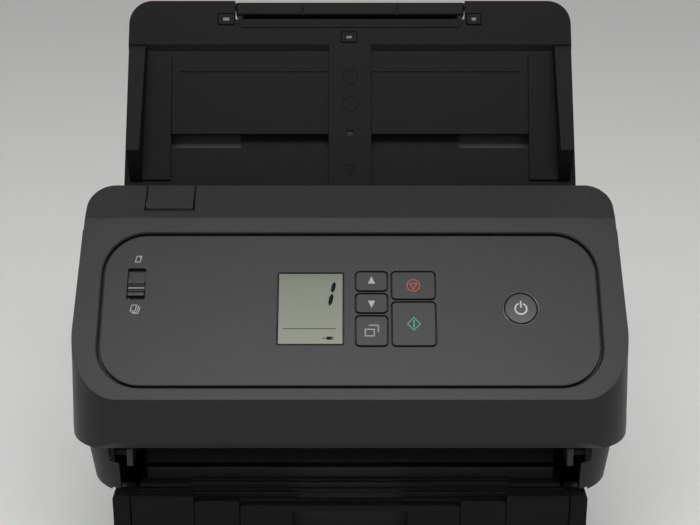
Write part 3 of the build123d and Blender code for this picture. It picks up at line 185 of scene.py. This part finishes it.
shell = plastic("Charcoal shell", (0.013, 0.013, 0.014), 0.38, specular=0.31)
# The side covers, rear cover and base take a darker copy of the shell's charcoal. The darker tone is painted
# shade for the shadow that the lower body lies in.
painted_shade_lower_shell = plastic("Charcoal lower body, painted shade", (0.009, 0.009, 0.0095), 0.46, specular=0.27)
panel_tone = (0.0135, 0.0135, 0.0145)
panel_grey = plastic("Slate control panel", panel_tone, 0.36, bump=0.05, dust=0.01, edge=0.4, specular=0.30)
key_grey = plastic("Slate keys", (0.014, 0.014, 0.015), 0.34, bump=0.04, dust=0.0, edge=0.35, specular=0.30)
tray_black = plastic("Black feed tray", (0.005, 0.005, 0.0055), 0.50, grain=1900.0, bump=0.18, specular=0.12)
slider_black = plastic("Black sliders", (0.0045, 0.0045, 0.005), 0.46, grain=1900.0, specular=0.12)
inner_black = plastic("Black inner mouldings", (0.012, 0.012, 0.013), 0.50)
button_tone = (0.010, 0.010, 0.011)
gloss_black = plastic("Gloss black button", button_tone, 0.12, bump=0.01, cloud=0.03, dust=0.0, edge=0.4)
gear_ivory = plastic("Ivory gear plastic", (0.62, 0.60, 0.52), 0.34, grain=1200.0, cloud=0.05, edge=0.15)
print("plastics made:", len(bpy.data.materials))

# %% [markdown]
# The other finishes are rarer: soft rubber on the rollers and feet, sheet steel with a rolled grain, green
# circuit boards, clear scan glass, the grey-green display and the inks of the symbols.

# %% Rubber, metal, boards and glass


def rubber(name, tone):
    return plastic(name, tone, 0.62, grain=3800.0, bump=0.30, cloud=0.14, dust=0.02, edge=0.3, specular=0.3)


def rolled_steel(name, tone, rough, streak=(30.0, 900.0, 900.0)):
    material = bpy.data.materials.new(name)
    material.use_nodes = True
    tree = material.node_tree
    shader = tree.nodes["Principled BSDF"]
    shader.inputs["Metallic"].default_value = 1.0
    place = node(tree, "TexCoord", -1100, 0)
    stretch = node(tree, "Mapping", -900, 0)
    stretch.inputs["Scale"].default_value = streak
    lines = node(tree, "TexNoise", -700, 0)
    lines.inputs["Scale"].default_value = 1.0
    lines.inputs["Detail"].default_value = 3.0
    colours = node(tree, "ValToRGB", -450, 150)
    colours.color_ramp.elements[0].color = (*[c * 0.82 for c in tone], 1)
    colours.color_ramp.elements[1].color = (*tone, 1)
    spread = node(tree, "MapRange", -450, -150)
    spread.inputs["To Min"].default_value = rough - 0.07
    spread.inputs["To Max"].default_value = rough + 0.07
    link = tree.links.new
    link(place.outputs["Object"], stretch.inputs["Vector"])
    link(stretch.outputs["Vector"], lines.inputs["Vector"])
    link(lines.outputs["Fac"], colours.inputs["Fac"])
    link(lines.outputs["Fac"], spread.inputs["Value"])
    link(colours.outputs["Color"], shader.inputs["Base Color"])
    link(spread.outputs["Result"], shader.inputs["Roughness"])
    return material


def circuit_board():
    """Green lacquer over faint copper tracks."""
    material = bpy.data.materials.new("Green circuit board")
    material.use_nodes = True
    tree = material.node_tree
    shader = tree.nodes["Principled BSDF"]
    shader.inputs["Roughness"].default_value = 0.35
    place = node(tree, "TexCoord", -900, 0)
    tracks = node(tree, "TexBrick", -650, 0)
    tracks.inputs["Scale"].default_value = 90.0
    tracks.inputs["Mortar Size"].default_value = 0.03
    tracks.inputs["Color1"].default_value = (0.012, 0.10, 0.035, 1)
    tracks.inputs["Color2"].default_value = (0.014, 0.12, 0.045, 1)
    tracks.inputs["Mortar"].default_value = (0.05, 0.22, 0.08, 1)
    tree.links.new(place.outputs["Object"], tracks.inputs["Vector"])
    tree.links.new(tracks.outputs["Color"], shader.inputs["Base Color"])
    return material


def clear_glass():
    material = bpy.data.materials.new("Clear scan glass")
    material.use_nodes = True
    tree = material.node_tree
    shader = tree.nodes["Principled BSDF"]
    shader.inputs["Roughness"].default_value = 0.05
    shader.inputs["Alpha"].default_value = 0.35
    place = node(tree, "TexCoord", -700, 0)
    haze = node(tree, "TexNoise", -500, 0)
    haze.inputs["Scale"].default_value = 40.0
    tint = node(tree, "ValToRGB", -250, 0)
    tint.color_ramp.elements[0].color = (0.50, 0.58, 0.56, 1)
    tint.color_ramp.elements[1].color = (0.60, 0.67, 0.65, 1)
    tree.links.new(place.outputs["Object"], haze.inputs["Vector"])
    tree.links.new(haze.outputs["Fac"], tint.inputs["Fac"])
    tree.links.new(tint.outputs["Color"], shader.inputs["Base Color"])
    return material


roller_rubber = rubber("Grey roller rubber", (0.075, 0.075, 0.080))
foot_rubber = rubber("Black foot rubber", (0.020, 0.020, 0.020))
frame_steel = rolled_steel("Zinc plated sheet steel", (0.55, 0.55, 0.56), 0.34)
coated_steel = rolled_steel("Blackened sheet steel", (0.018, 0.018, 0.019), 0.55)
shaft_steel = rolled_steel("Ground shaft steel", (0.66, 0.66, 0.67), 0.20, (900.0, 60.0, 60.0))
board_green = circuit_board()
scan_glass = clear_glass()
print("finishes made:", len(bpy.data.materials))

# %% [markdown]
# The display is a reflective liquid crystal cell. Its ground is grey-green, darker towards the upper edge
# where the housing shades it, and its cover has a soft sheen. The shade follows the cell's own height.

# %% Display ground
LCD_LEFT, LCD_RIGHT, LCD_LOW, LCD_HIGH = -37.4, -3.2, 30.9, 70.9


def display_ground():
    material = bpy.data.materials.new("Grey-green display")
    material.use_nodes = True
    tree = material.node_tree
    shader = tree.nodes["Principled BSDF"]
    shader.inputs["Roughness"].default_value = 0.30
    shader.inputs["Coat Weight"].default_value = 0.15
    place = node(tree, "TexCoord", -1100, 0)
    split = node(tree, "SeparateXYZ", -900, 0)
    low = (panel_surface @ Vector((0, LCD_LOW * MM, 0))).z
    high = (panel_surface @ Vector((0, LCD_HIGH * MM, 0))).z
    height = node(tree, "MapRange", -700, 0)
    height.inputs["From Min"].default_value = low
    height.inputs["From Max"].default_value = high
    ramp = node(tree, "ValToRGB", -450, 0)
    ramp.color_ramp.elements[0].color = (0.180, 0.196, 0.132, 1)
    ramp.color_ramp.elements[1].color = (0.125, 0.139, 0.093, 1)
    ramp.color_ramp.elements.new(0.80).color = (0.162, 0.178, 0.120, 1)
    link = tree.links.new
    link(place.outputs["Object"], split.inputs[0])
    link(split.outputs["Z"], height.inputs["Value"])
    link(height.outputs["Result"], ramp.inputs["Fac"])
    link(ramp.outputs["Color"], shader.inputs["Base Color"])
    return material


def ink(name, tone, rough=0.5, specular=0.5):
    """Printing ink, slightly uneven where the pad left less."""
    material = bpy.data.materials.new(name)
    material.use_nodes = True
    tree = material.node_tree
    shader = tree.nodes["Principled BSDF"]
    shader.inputs["Roughness"].default_value = rough
    shader.inputs["Specular IOR Level"].default_value = specular
    place = node(tree, "TexCoord", -700, 0)
    patch = node(tree, "TexNoise", -500, 0)
    patch.inputs["Scale"].default_value = 900.0
    ramp = node(tree, "ValToRGB", -250, 0)
    ramp.color_ramp.elements[0].color = (*[c * 0.88 for c in tone], 1)
    ramp.color_ramp.elements[1].color = (*tone, 1)
    tree.links.new(place.outputs["Object"], patch.inputs["Vector"])
    tree.links.new(patch.outputs["Fac"], ramp.inputs["Fac"])
    tree.links.new(ramp.outputs["Color"], shader.inputs["Base Color"])
    return material


display_green = display_ground()
ink_light = ink("Light grey ink", (0.50, 0.50, 0.51))
ink_white = ink("White ink", (0.75, 0.75, 0.76))
ink_dim = ink("Dim grey ink", (0.42, 0.42, 0.43))
ink_red = ink("Red ink", (0.55, 0.055, 0.050))
ink_green = ink("Green ink", (0.040, 0.42, 0.27))
ink_black = ink("Black segment", (0.006, 0.008, 0.004), 0.6, specular=0.1)
print("inks made")

# %% [markdown]
# Each part of the frame now takes its finish. The table pairs a material with the parts that wear it.

# %% Finishes for the frame's parts
wearing = {
    shell: ["front_cover", "open_lever"],
    # The lower covers and base wear the charcoal copy whose darker tone is painted shade.
    painted_shade_lower_shell: ["right_side_cover", "left_side_cover", "rear_cover", "base_tray"],
    panel_grey: ["control_panel"],
    key_grey: ["up_key", "down_key", "release_key", "stop_key", "start_key"],
    gloss_black: ["power_button", "feed_selector"],
    tray_black: ["feed_tray", "right_guide", "left_guide", "eject_tray"],
    slider_black: ["feed_extension", "eject_extension", "eject_sub_extension"],
    inner_black: ["front_chassis", "front_paper_guide", "rear_paper_guide", "exit_floor",
                  "front_image_sensor", "rear_image_sensor", "tray_back_cover"],
    gear_ivory: ["drive_gear", "feed_gear", "eject_gear", "feed_idler", "eject_idler", "guide_pinion",
                 "shaft_bushes", "drive_followers", "eject_followers"],
    roller_rubber: ["drive_tyres", "feed_tyre", "eject_tyres", "separation_roller"],
    foot_rubber: ["rubber_feet", "drive_belt"],
    frame_steel: ["drive_motor", "frame_screws", "panel_screws"],
    coated_steel: ["right_frame", "left_frame", "fixed_pins"],
    shaft_steel: ["drive_shaft", "feed_shaft", "eject_shaft", "latch_shaft", "motor_pulley", "rear_sockets"],
    board_green: ["main_board", "panel_board"],
    scan_glass: ["front_scan_glass", "rear_scan_glass"],
    display_green: ["lcd_window"],
}
dressed = 0
for material, names in wearing.items():
    for name in names:
        part = nodes[name]
        part.data.materials.clear()
        part.data.materials.append(material)
        dressed += 1
print("parts dressed:", dressed, "of", len(nodes))

# %% [markdown]
# A printed symbol is a film of ink a few hundredths of a millimetre thick. It starts as a flat outline: a
# circle primitive with as many corners as the symbol has. An inset and a deletion turn it into a line, and
# an extrusion gives the film its thickness. Then it is laid on its surface.

# %% Helpers for flat pieces
FILM = 0.05


def start_clean():
    if bpy.context.object and bpy.context.object.mode != "OBJECT":
        bpy.ops.object.mode_set(mode="OBJECT")
    bpy.ops.object.select_all(action="DESELECT")


def flat_polygon(name, corners, radius, turn=0.0, stretch=(1.0, 1.0), slant=0.0):
    """A filled polygon round the origin, in millimetres, its first corner at the top."""
    start_clean()
    bpy.ops.mesh.primitive_circle_add(vertices=corners, radius=radius * MM, fill_type="NGON")
    piece = bpy.context.object
    piece.name = name
    bpy.ops.object.mode_set(mode="EDIT")
    bpy.ops.mesh.select_all(action="SELECT")
    bpy.ops.transform.rotate(value=turn, orient_axis="Z", center_override=(0, 0, 0))
    bpy.ops.transform.resize(value=(stretch[0], stretch[1], 1), center_override=(0, 0, 0))
    bpy.ops.object.mode_set(mode="OBJECT")
    for point in piece.data.vertices:
        point.co.x += slant * point.co.y
    return piece


def outline_only(piece, line):
    """Leaves a line of that width along the polygon's edge."""
    bpy.ops.object.mode_set(mode="EDIT")
    bpy.ops.mesh.select_mode(type="FACE")
    bpy.ops.mesh.select_all(action="SELECT")
    bpy.ops.mesh.inset(thickness=line * MM, use_even_offset=True)
    bpy.ops.mesh.delete(type="FACE")
    bpy.ops.object.mode_set(mode="OBJECT")
    return piece


def thicken(piece, height):
    start_clean()
    piece.select_set(True)
    bpy.context.view_layer.objects.active = piece
    bpy.ops.object.mode_set(mode="EDIT")
    bpy.ops.mesh.select_all(action="SELECT")
    bpy.ops.mesh.extrude_region_move(TRANSFORM_OT_translate={"value": (0, 0, height * MM)})
    bpy.ops.mesh.select_all(action="SELECT")
    bpy.ops.mesh.normals_make_consistent(inside=False)
    bpy.ops.object.mode_set(mode="OBJECT")


def lay_on(piece, surface, u, v, w, body, material):
    """Moves the flat piece to its place on a surface and lets it ride with its body."""
    move = surface @ Matrix.Translation((u * MM, v * MM, w * MM))
    piece.data.transform(move @ piece.matrix_world)
    piece.matrix_world = Matrix.Identity(4)
    piece.data.materials.clear()
    piece.data.materials.append(material)
    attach(piece, body)


def join_into(name, pieces):
    start_clean()
    for piece in pieces:
        piece.select_set(True)
    bpy.context.view_layer.objects.active = pieces[0]
    bpy.ops.object.join()
    pieces[0].name = name
    return pieces[0]


def shift(piece, u, v):
    """Moves a flat piece's points, in millimetres."""
    for point in piece.data.vertices:
        point.co.x += u * MM
        point.co.y += v * MM
    return piece


def flat_box(name, width, height, u=0.0, v=0.0, slant=0.0):
    """A filled rectangle, in millimetres."""
    piece = flat_polygon(name, 4, math.sqrt(0.5), math.radians(45), (width, height), slant)
    return shift(piece, u, v)


print("helpers ready")

# %% [markdown]
# The two small keys carry solid arrowheads, printed in light grey. Three corners make the arrowhead, and a
# half turn makes the second one point down.

# %% Arrowheads
ARROW_SIZE = (2.145, 2.76)
KEY_BOXES = {"up_key": (3.05, 19.2, 60.7, 71.25), "down_key": (3.05, 19.2, 48.5, 58.95),
             "release_key": (3.05, 19.2, 30.4, 46.6), "stop_key": (21.6, 43.9, 56.05, 71.25),
             "start_key": (21.6, 43.9, 30.4, 54.25)}


def middle(box):
    """The middle of a box given as left, right, low and high."""
    left, right, low, high = box
    return (left + right) / 2, (low + high) / 2


for key_name, turn in (("up_key", 0.0), ("down_key", math.pi)):
    u, v = middle(KEY_BOXES[key_name])
    arrow = flat_polygon(key_name + "_arrow", 3, 1.0, turn, ARROW_SIZE)
    thicken(arrow, FILM)
    lay_on(arrow, panel_surface, u, v, KEY_TOP, key_name, ink_light)
print("arrowheads laid")

# %% [markdown]
# The stop key has a red ring with a triangle inside that points down. The start key has a green diamond
# with an upright bar. Both are thin lines, so each shape is inset and its middle is taken out.

# %% Stop and start symbols
stop_u, stop_v = middle(KEY_BOXES["stop_key"])
ring = outline_only(flat_polygon("stop_ring", 40, 3.5), 0.5)
drop = outline_only(flat_polygon("stop_drop", 3, 2.75, math.pi), 0.5)
stop_mark = join_into("stop_mark", [ring, drop])
thicken(stop_mark, FILM)
lay_on(stop_mark, panel_surface, stop_u, stop_v, KEY_TOP, "stop_key", ink_red)

start_u, start_v = middle(KEY_BOXES["start_key"])
diamond = outline_only(flat_polygon("start_diamond", 4, 3.7, 0.0, (0.98, 1.04)), 0.5)
bar = flat_box("start_bar", 0.7, 4.0)
start_mark = join_into("start_mark", [diamond, bar])
thicken(start_mark, FILM)
lay_on(start_mark, panel_surface, start_u, start_v, KEY_TOP, "start_key", ink_green)
print("stop and start symbols laid")

# %% [markdown]
# The third small key separates or releases sheets. It gets a plain symbol of two sheets, one set off
# behind the other.

# %% Sheets symbol on the release key
release_u, release_v = middle(KEY_BOXES["release_key"])
front_sheet = outline_only(flat_box("front_sheet", 5.2, 4.2, -1.0, -1.0), 0.62)
back_top = flat_box("back_top", 5.2, 0.62, 1.1, 3.0)
back_side = flat_box("back_side", 0.62, 4.2, 3.39, 1.21)
sheets_mark = join_into("sheets_mark", [front_sheet, back_top, back_side])
thicken(sheets_mark, FILM)
lay_on(sheets_mark, panel_surface, release_u, release_v, KEY_TOP, "release_key", ink_dim)
print("sheets symbol laid")

# %% [markdown]
# The power button carries the usual open ring with a bar through its gap, in white. The ring is a circle's
# outline, and the faces near the top are deleted to open it.

# %% Power symbol
POWER_U, POWER_V = 87.9, 50.95
RING_GAP = 2.5
open_ring = outline_only(flat_polygon("power_ring", 48, 3.35), 0.75)
shape = bmesh.new()
shape.from_mesh(open_ring.data)
middles = [(face, face.calc_center_median()) for face in shape.faces]
gap_faces = [face for face, spot in middles if spot.y > 0 and abs(spot.x) < RING_GAP / 2 * MM]
bmesh.ops.delete(shape, geom=gap_faces, context="FACES")
shape.to_mesh(open_ring.data)
shape.free()
power_bar = flat_box("power_bar", 0.75, 3.7, 0.0, 2.4)
power_mark = join_into("power_mark", [open_ring, power_bar])
thicken(power_mark, FILM)
lay_on(power_mark, panel_surface, POWER_U, POWER_V - 0.3, POWER_TOP, "power_button", ink_white)
print("power symbol laid")

# %% [markdown]
# A thin satin trim ring lines the recess round the power button and catches the light along its lower edge.
# It is a tube: a circle without a face, extruded into a band, given a wall and a rounded rim.

# %% Trim ring round the power button
start_clean()
bpy.ops.mesh.primitive_circle_add(vertices=72, radius=9.2 * MM, fill_type="NOTHING")
trim = bpy.context.object
trim.name = "power_trim"
bpy.ops.object.mode_set(mode="EDIT")
bpy.ops.mesh.select_all(action="SELECT")
bpy.ops.mesh.extrude_edges_move(TRANSFORM_OT_translate={"value": (0, 0, 1.15 * MM)})
bpy.ops.object.mode_set(mode="OBJECT")
wall = trim.modifiers.new("wall", "SOLIDIFY")
wall.thickness = 0.28 * MM
wall.offset = -1.0
rim = trim.modifiers.new("rim", "BEVEL")
rim.width = 0.1 * MM
rim.segments = 2
rim.limit_method = "ANGLE"
for modifier in ("wall", "rim"):
    bpy.ops.object.modifier_apply(modifier=modifier)
bpy.ops.object.shade_smooth_by_angle(angle=math.radians(40))
trim_steel = rolled_steel("Dark satin trim", (0.16, 0.16, 0.165), 0.24)
lay_on(trim, panel_surface, POWER_U, POWER_V, PANEL_TOP - 1.19, "front_unit", trim_steel)
print("trim faces:", len(trim.data.polygons))

# %% [markdown]
# The display shows one slanted figure made of two bars, a fine rule and a small plug mark. The segments are
# black, a hair above the cell. A black frame masks the cell's edge.

# %% Display figures
SEGMENT_FILM = 0.04
MASK_LINE = 0.62
MASK_PLAY = 0.1
middle_u, middle_v = middle((LCD_LEFT, LCD_RIGHT, LCD_LOW, LCD_HIGH))
mask = flat_box("lcd_mask", LCD_RIGHT - LCD_LEFT - MASK_PLAY, LCD_HIGH - LCD_LOW - MASK_PLAY)
outline_only(mask, MASK_LINE)
thicken(mask, SEGMENT_FILM)
lay_on(mask, panel_surface, middle_u, middle_v, GLASS_TOP, "front_unit", ink_black)

SEGMENT_SLANT = 0.19
upper = flat_polygon("upper_segment", 6, 1.0, 0.0, (1.25, 3.15), SEGMENT_SLANT)
lower = flat_polygon("lower_segment", 6, 1.0, 0.0, (1.25, 3.45), SEGMENT_SLANT)
shift(lower, -1.25, -6.95)
figure = join_into("lcd_figure", [upper, lower])
thicken(figure, SEGMENT_FILM)
lay_on(figure, panel_surface, -8.6, 62.7, GLASS_TOP, "front_unit", ink_black)

rule = flat_box("lcd_rule", 26.8, 0.32)
thicken(rule, SEGMENT_FILM)
lay_on(rule, panel_surface, -20.8, 39.8, GLASS_TOP, "front_unit", ink_black)

plug_body = flat_box("plug_body", 2.6, 1.7)
plug_lead = flat_box("plug_lead", 2.2, 0.4, -2.3, 0.0)
plug_high = flat_box("plug_high", 1.2, 0.35, 1.8, 0.45)
plug_low = flat_box("plug_low", 1.2, 0.35, 1.8, -0.45)
plug_mark = join_into("lcd_plug", [plug_body, plug_lead, plug_high, plug_low])
thicken(plug_mark, SEGMENT_FILM)
lay_on(plug_mark, panel_surface, -10.6, 34.6, GLASS_TOP, "front_unit", ink_black)
print("display figures laid")

# %% [markdown]
# Above and below the sliding switch, small page symbols show one sheet and a stack. Each page is a slanted
# outline, and the stack repeats it with two corners behind.

# %% Page symbols by the switch
PAGE = (2.9, 3.7)
PAGE_LINE = 0.4
PAGE_SLANT = 0.22
PAGE_STEP = (0.75, -0.55)


def page_outline(name, u, v):
    piece = flat_box(name, PAGE[0], PAGE[1], 0, 0, PAGE_SLANT)
    return shift(outline_only(piece, PAGE_LINE), u, v)


single = page_outline("single_page", 0.0, 0.0)
fold = shift(flat_polygon("page_fold", 3, 0.75, math.radians(60)), 0.9, 1.2)
single_mark = join_into("single_page_mark", [single, fold])
thicken(single_mark, FILM)
lay_on(single_mark, panel_surface, -110.3, 78.6, PANEL_TOP, "front_unit", ink_light)

stack = [page_outline("stack_page", -0.4, 0.5)]
for step in (1, 2):
    right, down = PAGE_STEP[0] * step, 0.5 + PAGE_STEP[1] * step
    side = flat_box("stack_side", PAGE_LINE, PAGE[1], PAGE[0] / 2 - PAGE_LINE + right, down, PAGE_SLANT)
    foot = flat_box("stack_foot", PAGE[0], PAGE_LINE, right - PAGE_STEP[0], down - PAGE[1] / 2)
    stack += [side, foot]
stack_mark = join_into("stack_mark", stack)
thicken(stack_mark, FILM)
lay_on(stack_mark, panel_surface, -111.0, 50.6, PANEL_TOP, "front_unit", ink_light)
print("page symbols laid")

# %% [markdown]
# Three small black catches sit along the feed tray's upper band, two beside the pull-out grip and one on the
# spine. Each is a block with rounded edges and a paler insert. The block is a cube with a bevel, whose upper
# face is inset and pushed in, and the insert is a thin box that stands in that hollow.

# %% Catches on the feed tray
TRAY_CATCHES = [("left_catch", -68.9, 103.6, 9.0, 6.2), ("right_catch", 68.9, 103.6, 8.0, 6.2),
                ("middle_catch", -0.5, 93.4, 8.6, 5.8)]
insert_grey = plastic("Grey catch insert", (0.10, 0.10, 0.105), 0.30, bump=0.03, dust=0.0, edge=0.2)
for name, u, v, width, height in TRAY_CATCHES:
    start_clean()
    bpy.ops.mesh.primitive_cube_add(size=1.0)
    catch = bpy.context.object
    catch.name = name
    catch.scale = (width * MM, height * MM, 3.4 * MM)
    bpy.ops.object.transform_apply(scale=True)
    edges = catch.modifiers.new("edges", "BEVEL")
    edges.width = 0.5 * MM
    edges.segments = 3
    bpy.ops.object.modifier_apply(modifier="edges")
    bpy.ops.object.mode_set(mode="EDIT")
    bpy.ops.mesh.select_mode(type="FACE")
    bpy.ops.mesh.select_all(action="DESELECT")
    bpy.ops.object.mode_set(mode="OBJECT")
    for face in catch.data.polygons:
        face.select = face.normal.z > 0.99 and face.area > 1e-5
    bpy.ops.object.mode_set(mode="EDIT")
    bpy.ops.mesh.inset(thickness=1.5 * MM)
    bpy.ops.mesh.extrude_region_move(TRANSFORM_OT_translate={"value": (0, 0, -0.5 * MM)})
    bpy.ops.object.mode_set(mode="OBJECT")
    lay_on(catch, tray_surface, u, v, 0.4, "feed_tray", slider_black)
    insert = flat_box(name + "_insert", width - 5.4, height - 4.4)
    thicken(insert, 0.3)
    lay_on(insert, tray_surface, u, v, 1.62, "feed_tray", insert_grey)
print("catches set:", len(TRAY_CATCHES))

# %% [markdown]
# A small dark window sits in the spine, over the opening that lets the tray's paper sensor look out. It is a
# cube, flattened to the size of the opening less a hair on each side.

# %% Sensor window in the spine
WINDOW_SIZE = (3.4, 2.6, 1.2)
start_clean()
bpy.ops.mesh.primitive_cube_add(size=1.0)
window = bpy.context.object
window.name = "spine_window"
window.scale = [side * MM for side in WINDOW_SIZE]
bpy.ops.object.transform_apply(scale=True)
lay_on(window, tray_surface, 0.0, 39.55, -0.4, "feed_tray", gloss_black)
print("sensor window set")

# %% [markdown]
# Faint raised marks run down the tray's spine: two rings and an arrowhead that show how sheets are laid.
# They are the tray's own plastic, so only their edges show.

# %% Raised marks on the spine
SPINE_TOP = 1.8
MARK_LINE = 0.6
MARK_RELIEF = 0.25
for index, v in enumerate((56.0, 71.0)):
    ring = outline_only(flat_polygon("spine_ring", 36, 4.4), MARK_LINE)
    ring.name = "spine_ring_" + str(index + 1)
    thicken(ring, MARK_RELIEF)
    lay_on(ring, tray_surface, 0.0, v, SPINE_TOP, "feed_tray", tray_black)
arrow = flat_polygon("spine_arrow", 3, 3.6, math.pi, (1.0, 1.2))
outline_only(arrow, MARK_LINE)
thicken(arrow, MARK_RELIEF)
lay_on(arrow, tray_surface, 0.0, 20.0, SPINE_TOP, "feed_tray", tray_black)
print("spine marks set")

# %% [markdown]
# The table is one wide pale plane, and the world behind it is pale too. The lamps are set for a black
# object, so both also glow, but only for the camera, for gloss and for clear parts. A small helper makes
# that mask from the kind of ray, so the glow adds no diffuse light to the object.

# %% Table and backdrop


def seen_rays(tree):
    """One where a ray comes from the camera, a glossy face or a clear part, and zero for light."""
    rays = node(tree, "LightPath", -900, 300)
    looked = node(tree, "Math", -600, 300, operation="MAXIMUM")
    either = node(tree, "Math", -400, 300, operation="MAXIMUM")
    tree.links.new(rays.outputs["Is Camera Ray"], looked.inputs[0])
    tree.links.new(rays.outputs["Is Glossy Ray"], looked.inputs[1])
    tree.links.new(looked.outputs[0], either.inputs[0])
    tree.links.new(rays.outputs["Is Transmission Ray"], either.inputs[1])
    return either.outputs[0]


TABLE_GLOW = 0.28
start_clean()
bpy.ops.mesh.primitive_plane_add(size=8.0)
table = bpy.context.object
table.name = "table"
pale = bpy.data.materials.new("Pale table")
pale.use_nodes = True
pale_shader = pale.node_tree.nodes["Principled BSDF"]
pale_shader.inputs["Base Color"].default_value = (0.78, 0.78, 0.77, 1)
pale_shader.inputs["Roughness"].default_value = 0.8
pale_shader.inputs["Emission Color"].default_value = (0.80, 0.80, 0.79, 1)
glow = node(pale.node_tree, "Math", -200, 300, operation="MULTIPLY")
glow.inputs[1].default_value = TABLE_GLOW
pale.node_tree.links.new(seen_rays(pale.node_tree), glow.inputs[0])
pale.node_tree.links.new(glow.outputs[0], pale_shader.inputs["Emission Strength"])
table.data.materials.append(pale)

world = bpy.data.worlds.new("Studio")
bpy.context.scene.world = world
world.use_nodes = True
tree = world.node_tree
background = tree.nodes["Background"]
background.inputs["Color"].default_value = (0.80, 0.80, 0.80, 1)
background.inputs["Strength"].default_value = 0.12
seen = node(tree, "Background", 0, 300)
seen.inputs["Color"].default_value = (0.60, 0.60, 0.60, 1)
seen.inputs["Strength"].default_value = 1.0
choose = node(tree, "MixShader", 250, 100)
tree.links.new(seen_rays(tree), choose.inputs["Fac"])
tree.links.new(background.outputs[0], choose.inputs[1])
tree.links.new(seen.outputs[0], choose.inputs[2])
tree.links.new(choose.outputs[0], tree.nodes["World Output"].inputs["Surface"])
print("table and backdrop ready")

# %% [markdown]
# Soft boxes light the scanner. The strongest hangs above and in front, where the sloping panel mirrors it to
# the camera, so that the bezel is the brightest surface. The upright front stays dark under a weak low box.

# %% Lamps
LAMPS = [("slope box", (0.0, -0.82, 1.25), (0.95, 0.35), 10.2),
         ("top box", (0.0, 0.55, 1.35), (1.4, 0.7), 1.2),
         ("front box", (0.0, -1.6, 0.45), (1.4, 0.4), 0.5),
         ("left box", (-1.5, -0.2, 0.7), (0.6, 0.9), 2.4),
         ("right box", (1.5, -0.2, 0.7), (0.6, 0.9), 2.4)]
for name, place, size, power in LAMPS:
    lamp = bpy.data.lights.new(name, "AREA")
    lamp.shape = "RECTANGLE"
    lamp.size = size[0]
    lamp.size_y = size[1]
    lamp.energy = power
    holder = bpy.data.objects.new(name, lamp)
    bpy.context.collection.objects.link(holder)
    holder.location = place
    aim = Vector((0, 0, 0.12)) - Vector(place)
    holder.rotation_euler = aim.to_track_quat("-Z", "Y").to_euler()
print("lamps:", len(LAMPS))

# %% [markdown]
# The camera stands in front and a little above, and looks down by 20 degrees. A lens of 75 mm keeps the
# sides nearly straight.

# %% Camera and colour
eye = bpy.data.cameras.new("camera")
eye.lens = 75.0
eye.sensor_width = 36.0
camera = bpy.data.objects.new("camera", eye)
bpy.context.collection.objects.link(camera)
camera.location = (0.0, -0.771, 0.435)
camera.rotation_euler = (math.radians(70.0), 0.0, 0.0)
bpy.context.scene.camera = camera
bpy.context.scene.view_settings.view_transform = "Standard"
